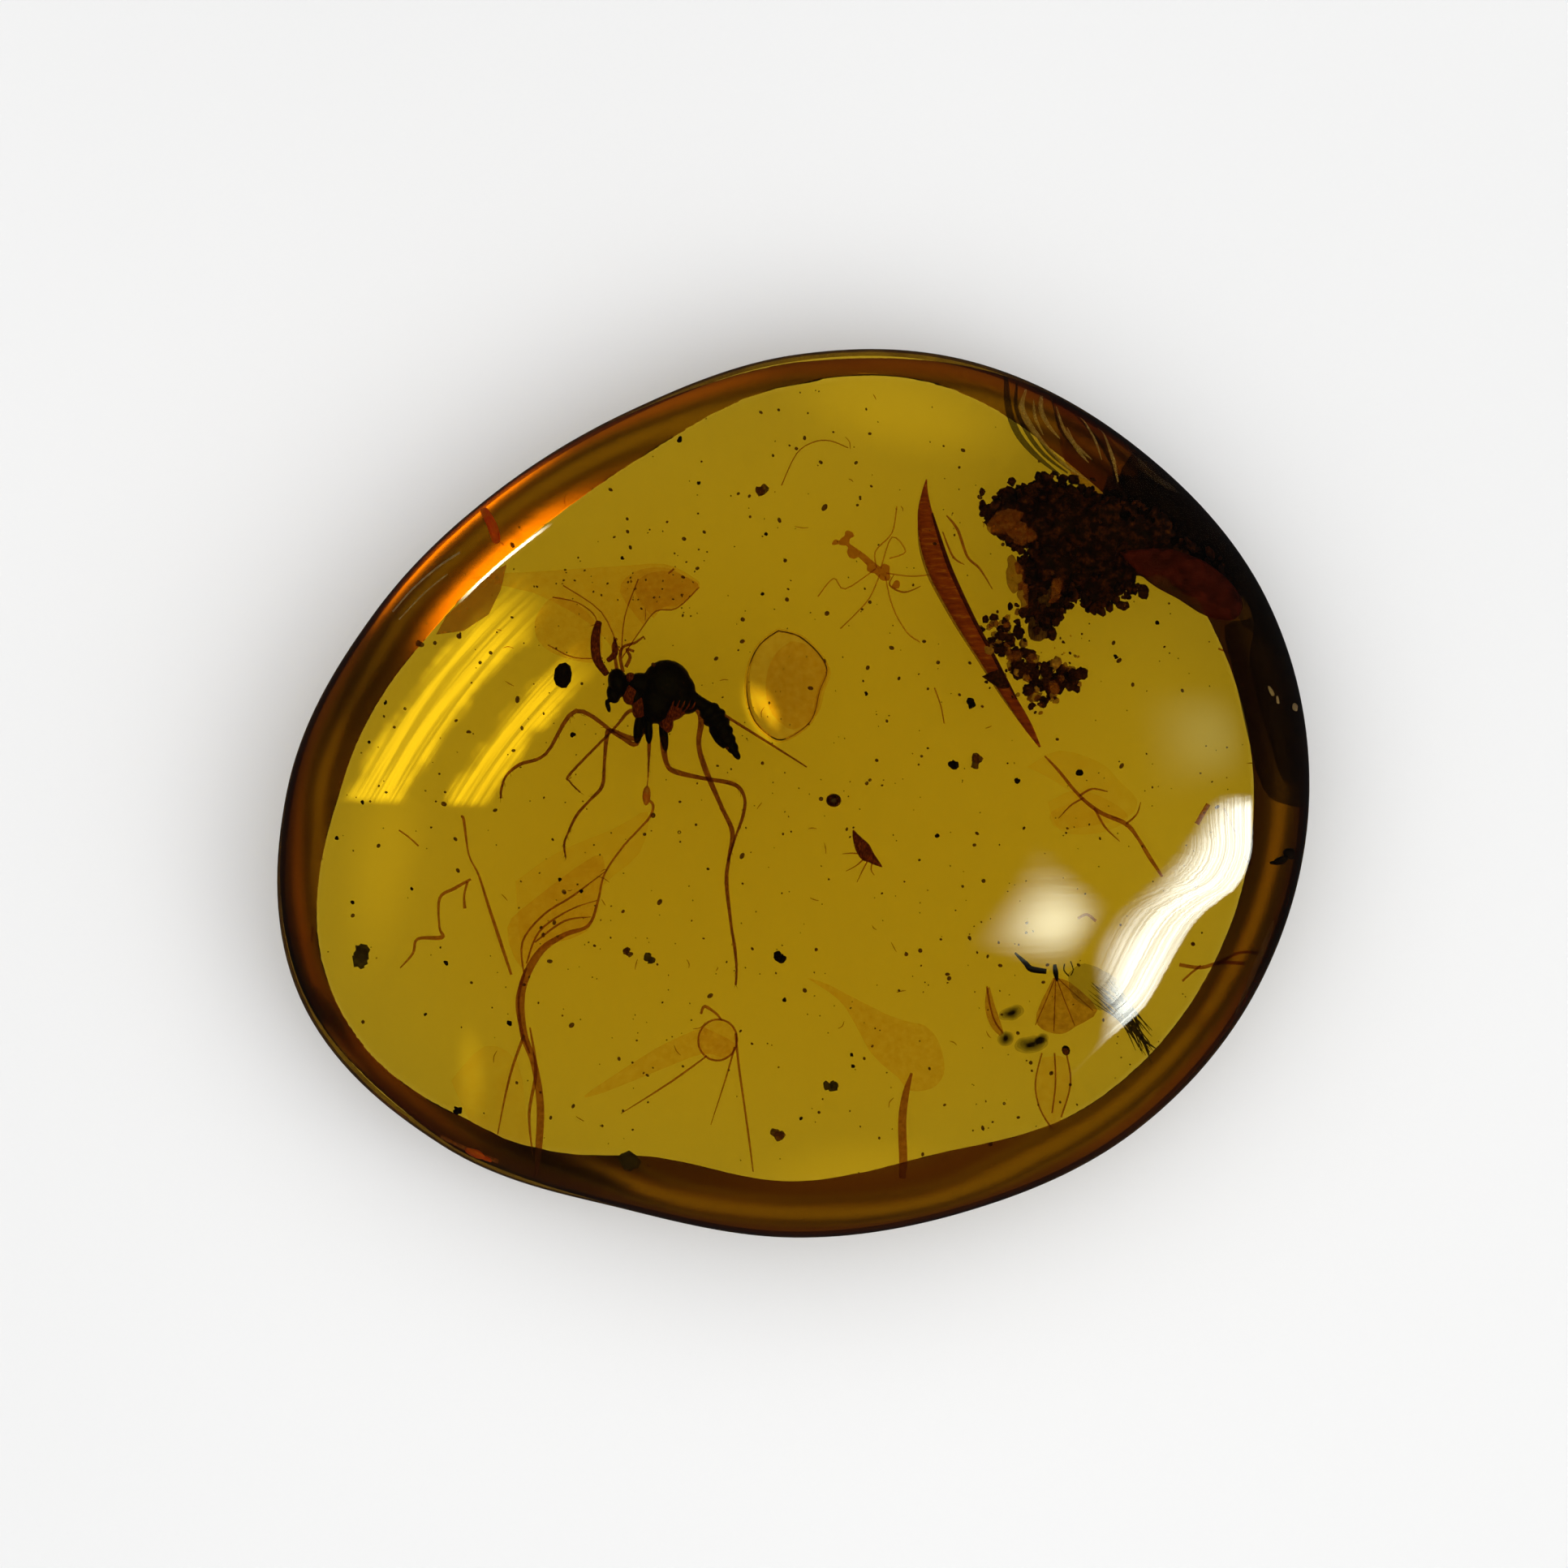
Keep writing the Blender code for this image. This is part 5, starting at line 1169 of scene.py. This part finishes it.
def makeFlaws():
    def sheet(name, outline, material, z, wave=0.2):
        bm = bmesh.new()
        addFilm(bm, outline, 0.02, z, 3, 3, wave)
        newPiece(name, bm, material)

    def strokes(name, paths, material, z):
        bm = bmesh.new()
        for path, width in paths:
            addLimb(bm, [(x, y, z) for x, y in path], width, 7, 5, 0.5)
        newPiece(name, bm, material)

    def specks(name, places, material, z):
        bm = bmesh.new()
        for x, y, length, width, turn in places:
            roughen(addBlob(bm, (x, y, z), (length, width, width), turn), width * 0.4, width * 1.5, x)
        newPiece(name, bm, material)

    sheet("crackShell", flaws["shell"], stainFilm, sealZ, 0.5)
    sheet("crackHaze", flaws["haze"], greyFilm, sealZ + 0.5)
    sheet("crackStain", flaws["gold"], fanFilm, sealZ - 0.2, 0.4)
    strokes("crackDarkEdges", flaws["darkEdges"], crackShadow, sealZ + 0.3)
    # painted sheen: pale yellow strokes where the crack sends light back
    strokes("crackBrightEdges", flaws["brightEdges"], crackPaintedSheen, sealZ + 0.5)
    # painted shade: dark sheets laid along the right rim to darken it
    for index, outline in enumerate(flaws["shade"]):
        sheet("rimShadeSheet%d" % index, outline, rimShadeFilm, 2.9 + 0.3 * index, 0.1)
    specks("rimSmudge", flaws["soot"], soot, 3.0)
    strokes("rimScratch", ((flaws["scratch"], (0.06, 0.18, 0.24, 0.18, 0.06)),), greyFilm, 3.3)
    # painted highlights: pale flakes and strokes for glints and light streaks on the rim
    specks("rimGlintFlakes", flaws["glints"], paintedGlint, 3.3)
    # painted light: a bright orange sheet along the crease where light glows through the rim
    sheet("rimCreaseGlow", flaws["crease"], paintedRimGlow, 3.4, 0.1)
    strokes("rimHighlightStreaks", flaws["highlightStreaks"], paintedGlint, 4.0)
    # painted light: bright orange spot and streaks where light glows through the lower left rim
    specks("rimGlowSpot", flaws["glowSpots"], paintedRimGlow, 3.0)
    strokes("rimGlowStreaks", [(path, 0.14) for path in flaws["glowing"]], orangeBast, 3.0)
    bm = bmesh.new()
    for outer, inner, height in flaws["shadeRings"]:  # painted shade: a dark tint ring under the widest line that darkens the outer edge
        edges = []
        for inset in (outer, inner):
            loop = [bm.verts.new(((around(amber["rimRadii"], bearing) - inset) * math.cos(bearing),
                                  (around(amber["rimRadii"], bearing) - inset) * math.sin(bearing), height))
                    for bearing in (math.tau * step / 192 for step in range(192))]
            edges += [bm.edges.new(pair) for pair in zip(loop, loop[1:] + loop[:1])]
        bmesh.ops.bridge_loops(bm, edges=edges)
    bmesh.ops.recalc_face_normals(bm, faces=bm.faces)
    bmesh.ops.solidify(bm, geom=bm.faces[:], thickness=0.02)
    newPiece("rimEdgeShade", bm, edgeShadeTint)
    route = smoothRoute([*bubble["outline"], bubble["outline"][0]], 2)
    strokes("bubbleEdge", ((route, flaws["bubbleEdge"]),), smokyFilm, bubble["z"])
    for index, (share, aside) in enumerate(((1.0, 0.0), (0.80, 0.25))):
        sheet("bubbleStain%d" % index, [(x * share + aside, 2.7 + (y - 2.7) * share) for x, y in bubble["outline"]],
              wingFilm, bubble["z"] + 0.2 + 0.1 * index, 0.0)


# Grains, hairs and dust

grains = {
    # x, y, z, radius in mm
    "black": (
        (3.90, 0.72, 4.2, 0.12), (5.44, 0.33, 4.2, 0.08), (6.95, 0.51, 4.2, 0.09), (3.54, -1.02, 4.2, 0.06),
        (-0.29, -4.04, 4.2, 0.12), (4.36, 2.17, 4.2, 0.11), (7.81, 3.32, 4.2, 0.07), (8.83, 4.12, 4.2, 0.05),
        (-8.45, -4.09, 4.2, 0.07), (-8.25, -7.75, 4.2, 0.11), (-11.10, -1.14, 4.2, 0.06), (-9.25, -2.34, 4.2, 0.05),
        (-10.71, -2.66, 4.2, 0.07), (-8.97, -5.33, 4.2, 0.05), (-10.47, -0.25, 4.2, 0.05), (-6.93, -5.51, 4.2, 0.07),
        (-5.69, -2.09, 4.2, 0.05), (-5.20, -2.37, 4.2, 0.05), (-9.92, 2.12, 4.2, 0.06), (-10.31, 1.19, 4.2, 0.05),
        (-2.73, 8.52, 4.2, 0.08), (-2.26, 7.46, 4.2, 0.05), (0.17, -7.84, 4.2, 0.05), (1.41, -6.31, 4.2, 0.05),
        (1.43, -6.57, 4.2, 0.06), (-0.21, -5.03, 4.2, 0.06), (-0.63, 6.26, 4.2, 0.06), (-4.13, 5.66, 4.2, 0.06),
        (-0.73, 4.84, 4.2, 0.05), (-5.38, 1.40, 4.2, 0.07), (1.79, 2.44, 4.2, 0.06)),
    "brown": (
        (4.50, 0.86, 3.8, 0.15), (-0.76, 7.25, 3.8, 0.15), (-0.29, -8.19, 3.8, 0.14), (-4.09, -3.83, 3.8, 0.11),
        (-9.05, 3.53, 3.8, 0.10), (-7.87, 1.43, 3.8, 0.06), (-8.06, 3.70, 3.8, 0.07), (6.57, -6.16, 3.8, 0.10)),
    "green": (
        (-10.50, -3.90, 4.0, 0.22), (-4.06, -8.79, 4.0, 0.24), (-3.51, -4.08, 4.0, 0.11), (0.95, -7.06, 4.0, 0.13)),
    "dust": 760,
    "hairs": (
        (((-0.25, 7.40), (0.11, 8.15), (0.51, 8.43), (0.92, 8.47), (1.36, 8.30)), 0.030),
        (((9.35, -4.12), (9.89, -4.20), (10.41, -4.09), (11.08, -4.16)), 0.10),
        (((9.89, -4.15), (9.63, -4.34), (9.43, -4.52)), 0.06),
        (((10.3, -4.12), (10.9, -3.87), (11.5, -3.94)), 0.08),
        (((10.05, -0.25), (9.90, -0.50), (9.77, -0.73)), 0.13),
        (((10.44, -0.35), (10.58, -0.66), (10.73, -0.95)), 0.04),
        (((10.96, -1.51), (11.13, -1.72)), 0.09),
        (((-9.55, -0.93), (-9.30, -1.11), (-9.08, -1.31)), 0.045),
        (((3.45, 2.58), (3.61, 2.13), (3.69, 1.71)), 0.035),
        (((10.31, 3.50), (10.69, 3.38)), 0.05),
        (((-11.76, -3.28), (-11.82, -3.65)), 0.06),
        (((-2.87, 5.40), (-3.01, 5.28)), 0.05),
        (((4.70, -4.66), (4.77, -5.09), (4.89, -5.49), (5.08, -5.76)), 0.05),
        (((6.90, -3.02), (7.12, -2.92), (7.34, -3.08)), 0.08)),
}


def makeGrains():
    draw = random.Random(41)
    for kind, material, slotName in (("black", soot, "bark"), ("brown", barkDust, "bark"), ("green", mossGrain, "bark")):
        bm = bmesh.new()
        for x, y, z, radius in grains[kind]:
            for part in range(3 if radius > 0.1 else 2):
                side = radius * 0.5 * part
                verts = addBlob(bm, (x + draw.uniform(-1, 1) * side, y + draw.uniform(-1, 1) * side, z),
                                (radius * draw.uniform(0.6, 1.0), radius * draw.uniform(0.5, 0.9), radius * 0.7),
                                draw.uniform(0, 180), detail=2)
                roughen(verts, radius * 0.5, 0.1, draw.random() * 9)
        newPiece(kind + "Grains", bm, material)
    bm = bmesh.new()
    for path, width in grains["hairs"]:
        addLimb(bm, [(x, y, 4.0) for x, y in path], width, 6, 4)
    for _ in range(46):  # stray fibres
        x, y, z = placeInStone(draw)
        bearing, length = draw.uniform(0, math.tau), draw.uniform(0.10, 0.34)
        bend = draw.uniform(-0.8, 0.8)
        path = [(x + length * step * math.cos(bearing + bend * step), y + length * step * math.sin(bearing + bend * step),
                 z + 0.1 * step) for step in (0.0, 0.5, 1.0)]
        addLimb(bm, path, (0.012, 0.022, 0.012), 4, 3)
    newPiece("looseHairs", bm, veinSkin)
    bm = bmesh.new()
    for _ in range(grains["dust"]):
        radius = 0.016 + 0.05 * draw.random() ** 4
        addBlob(bm, placeInStone(draw), (radius * draw.uniform(0.7, 1.6), radius, radius), draw.uniform(0, 180), detail=1)
    newPiece("dustMotes", bm, barkDust)
    bm = bmesh.new()
    addBlob(bm, (0.99, -0.17, 4.0), (0.19, 0.17, 0.17), detail=3)
    newPiece("resinBead", bm, darkResin)


def placeInStone(draw):
    while True:
        x, y, z = draw.uniform(-12, 12), draw.uniform(-10.5, 10.5), draw.uniform(0.6, 6.0)
        if math.hypot(x, y) < 0.9 * stoneRadius(math.atan2(y, x), z) - 0.3:
            return (x, y, z)


# Finishes

# Black chitin of a wasp: thick, hard and a little shiny, with nearly no colour of its own.
waspCuticle = sealedMaterial("blackChitin", {
    "stops": [(0.3, "#020100"), (0.62, "#0c0502"), (0.8, "#2e1406")], "grain": 0.10, "gloss": (0.3, 0.6),
    "relief": 0.02, "specular": 0.12})
# Thin chitin between the plates, which the light reddens.
waspSoftSkin = sealedMaterial("redChitin", {
    "stops": [(0.3, "#3c1002"), (0.5, "#742e08"), (0.72, "#b8601c")], "grain": 0.08, "stretch": 0.4, "turn": 30,
    "gloss": (0.35, 0.6), "relief": 0.015})
waspLegSkin = sealedMaterial("brownChitin", {
    "stops": [(0.3, "#84501c"), (0.7, "#b88040")], "grain": 0.12, "gloss": (0.06, 0.16), "through": 0.9})
# Wing membrane: two clear layers a few thousandths of a millimetre thick, stained brown.
wingFilm = sealedMaterial("wingMembrane", {
    "stops": [(0.3, "#f6e4c8"), (0.7, "#fcf3e4")], "grain": 0.16, "gloss": (0.06, 0.16), "through": 1.0})
smokyFilm = sealedMaterial("smokyMembrane", {
    "stops": [(0.3, "#f3dfc0"), (0.7, "#fbf0de")], "grain": 0.14, "gloss": (0.06, 0.16), "through": 1.0})
fanFilm = sealedMaterial("crumpledMembrane", {
    "stops": [(0.3, "#c4a074"), (0.7, "#e8cca0")], "grain": 0.14, "gloss": (0.06, 0.16), "through": 1.0})
paleFilm = sealedMaterial("paleMembrane", {
    "stops": [(0.3, "#f4e0c4"), (0.7, "#fcf2e2")], "grain": 0.14, "gloss": (0.06, 0.16), "through": 1.0})
# Old resin between two flows, a shade browner than the rest.
stainFilm = sealedMaterial("flowStain", {
    "stops": [(0.3, "#fbf0de"), (0.7, "#fefaf2")], "grain": 0.40, "gloss": (0.06, 0.16), "through": 1.0})
# Painted shade: a grey-brown tint that darkens the stone's outer edge.
edgeShadeTint = sealedMaterial("paintedEdgeShade", {
    "stops": [(0.3, "#8e7c66"), (0.7, "#b0a088")], "grain": 0.8, "gloss": (0.06, 0.16), "through": 1.0})
greyFilm = sealedMaterial("greyMembrane", {
    "stops": [(0.3, "#4c3a24"), (0.7, "#7c6a48")], "grain": 0.12, "gloss": (0.4, 0.6), "alpha": 0.22})
# Painted shade: dark see-through sheets that darken the right rim.
rimShadeFilm = sealedMaterial("paintedRimShade", {
    "stops": [(0.3, "#100602"), (0.7, "#221005")], "grain": 0.35, "gloss": (0.6, 0.9), "alpha": 0.55})
# A crack in resin is a film of air: painted shade where it turns the light away, painted sheen where it sends it back.
crackShadow = sealedMaterial("crackShadow", {
    "stops": [(0.3, "#1a0f03"), (0.7, "#3a2408")], "grain": 0.12, "gloss": (0.4, 0.7), "alpha": 0.55})
crackPaintedSheen = sealedMaterial("crackPaintedSheen", {
    "stops": [(0.3, "#d8a030"), (0.7, "#ffe890")], "grain": 0.12, "gloss": (0.2, 0.4), "specular": 0.3, "alpha": 0.34})
# Painted highlights: a pale colour for glints and light streaks on the rim.
paintedGlint = sealedMaterial("paintedGlint", {
    "stops": [(0.3, "#c8b090"), (0.7, "#fff6e6")], "grain": 0.10, "gloss": (0.5, 0.8), "alpha": 0.6})
veinSkin = sealedMaterial("wingVein", {
    "stops": [(0.3, "#a06a30"), (0.7, "#c8965c")], "grain": 0.10, "gloss": (0.06, 0.16), "through": 1.0})
midgeSkin = sealedMaterial("paleChitin", {
    "stops": [(0.3, "#b88048"), (0.7, "#d8a468")], "grain": 0.08, "gloss": (0.06, 0.16), "through": 1.0})
midgeLegSkin = sealedMaterial("thinChitin", {
    "stops": [(0.3, "#c08c58"), (0.7, "#dcb480")], "grain": 0.08, "gloss": (0.06, 0.16), "through": 1.0})
# Bark of a pine, blackened and soaked with resin.
pineBark = sealedMaterial("soakedPineBark", {
    "stops": [(0.30, "#0c0401"), (0.50, "#2a1003"), (0.64, "#542808"), (0.80, "#94581c")], "grain": 0.22,
    "gloss": (0.5, 0.85), "relief": 0.06})
drownedBast = sealedMaterial("greyBast", {
    "stops": [(0.3, "#4c3214"), (0.7, "#8c6a38")], "grain": 0.14, "stretch": 0.3, "gloss": (0.7, 0.9), "relief": 0.03})
orangeBast = sealedMaterial("orangeBast", {
    "stops": [(0.3, "#8a4408"), (0.7, "#e08c18")], "grain": 0.10, "gloss": (0.5, 0.8), "relief": 0.02, "alpha": 0.5})
paleBast = sealedMaterial("paleBast", {
    "stops": [(0.3, "#b07c30"), (0.7, "#e0b468")], "grain": 0.08, "gloss": (0.5, 0.8), "relief": 0.02})
redTissue = sealedMaterial("redCambium", {
    "stops": [(0.3, "#2c0a02"), (0.7, "#6a1e0a")], "grain": 0.30, "gloss": (0.6, 0.9), "relief": 0.03, "alpha": 0.85})
frassCrumb = sealedMaterial("beetleFrass", {
    "stops": [(0.3, "#1a0902"), (0.62, "#4e260a"), (0.8, "#9a5c1c")], "grain": 0.06, "gloss": (0.7, 0.95), "relief": 0.02})
# Heartwood of a resinous wood: red-brown, with the grain along the splinter.
heartwood = sealedMaterial("redHeartwood", {
    "stops": [(0.3, "#8a3406"), (0.55, "#b8560c"), (0.75, "#e08a20")], "grain": 0.07, "stretch": 8.0, "turn": -58,
    "gloss": (0.5, 0.75), "relief": 0.02, "alpha": 0.95})
darkHeartwood = sealedMaterial("darkHeartwood", {
    "stops": [(0.3, "#441402"), (0.7, "#6a2a04")], "grain": 0.07, "stretch": 8.0, "turn": -58,
    "gloss": (0.5, 0.75), "relief": 0.02})
rootFibre = sealedMaterial("rootFibre", {
    "stops": [(0.3, "#a86c30"), (0.7, "#d09c58")], "grain": 0.12, "gloss": (0.06, 0.16), "through": 0.9})
mossGrain = sealedMaterial("darkAlga", {
    "stops": [(0.3, "#2c2208"), (0.7, "#62521a")], "grain": 0.10, "gloss": (0.6, 0.9), "alpha": 0.8})
mouldShell = sealedMaterial("mould", {
    "stops": [(0.3, "#2c2208"), (0.7, "#5c4c18")], "grain": 0.10, "gloss": (0.6, 0.9), "alpha": 0.17})
soot = sealedMaterial("charredBark", {
    "stops": [(0.3, "#050302"), (0.7, "#1e0e05")], "grain": 0.06, "gloss": (0.5, 0.8)})
barkDust = sealedMaterial("barkDust", {
    "stops": [(0.3, "#5a2a04"), (0.7, "#8e5410")], "grain": 0.08, "gloss": (0.6, 0.9), "alpha": 0.75})
darkResin = sealedMaterial("darkResin", {
    "stops": [(0.3, "#240c02"), (0.7, "#5a2a06")], "grain": 0.20, "gloss": (0.08, 0.15), "specular": 0.5})
# Painted highlight: bright orange for a glint on a drop.
glintDrop = sealedMaterial("paintedOrangeGlint", {
    "stops": [(0.3, "#f07810"), (0.7, "#ffc050")], "grain": 0.20, "gloss": (0.08, 0.2), "specular": 0.5, "alpha": 0.85})
orangePitch = sealedMaterial("orangePitch", {
    "stops": [(0.2, "#c4661a"), (0.8, "#f08c2a")], "grain": 0.9, "gloss": (0.2, 0.4), "relief": 0.002, "alpha": 0.5})
# Painted light: bright orange for the light that glows through the rim.
paintedRimGlow = sealedMaterial("paintedRimGlow", {
    "stops": [(0.3, "#ff5000"), (0.7, "#ff8600")], "grain": 0.30, "gloss": (0.3, 0.5), "alpha": 0.8})

makeWaspBody()
makeWaspChest()
makeWaspLegs()
makeWaspWings()
makeMidge()
makeGnat()
makeCrushedFly()
print("the insects are made")
makeBark()
makeFrass()
makeSplinter()
makeThreads()
makeFlaws()
makeGrains()
for nodeName, nodeMaterial in (("spore", soot), ("pitch_flake", orangePitch)):
    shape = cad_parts[nodeName]
    for slotIndex in range(len(shape.material_slots)):
        shape.material_slots[slotIndex].material = nodeMaterial
print("the plant debris is made")
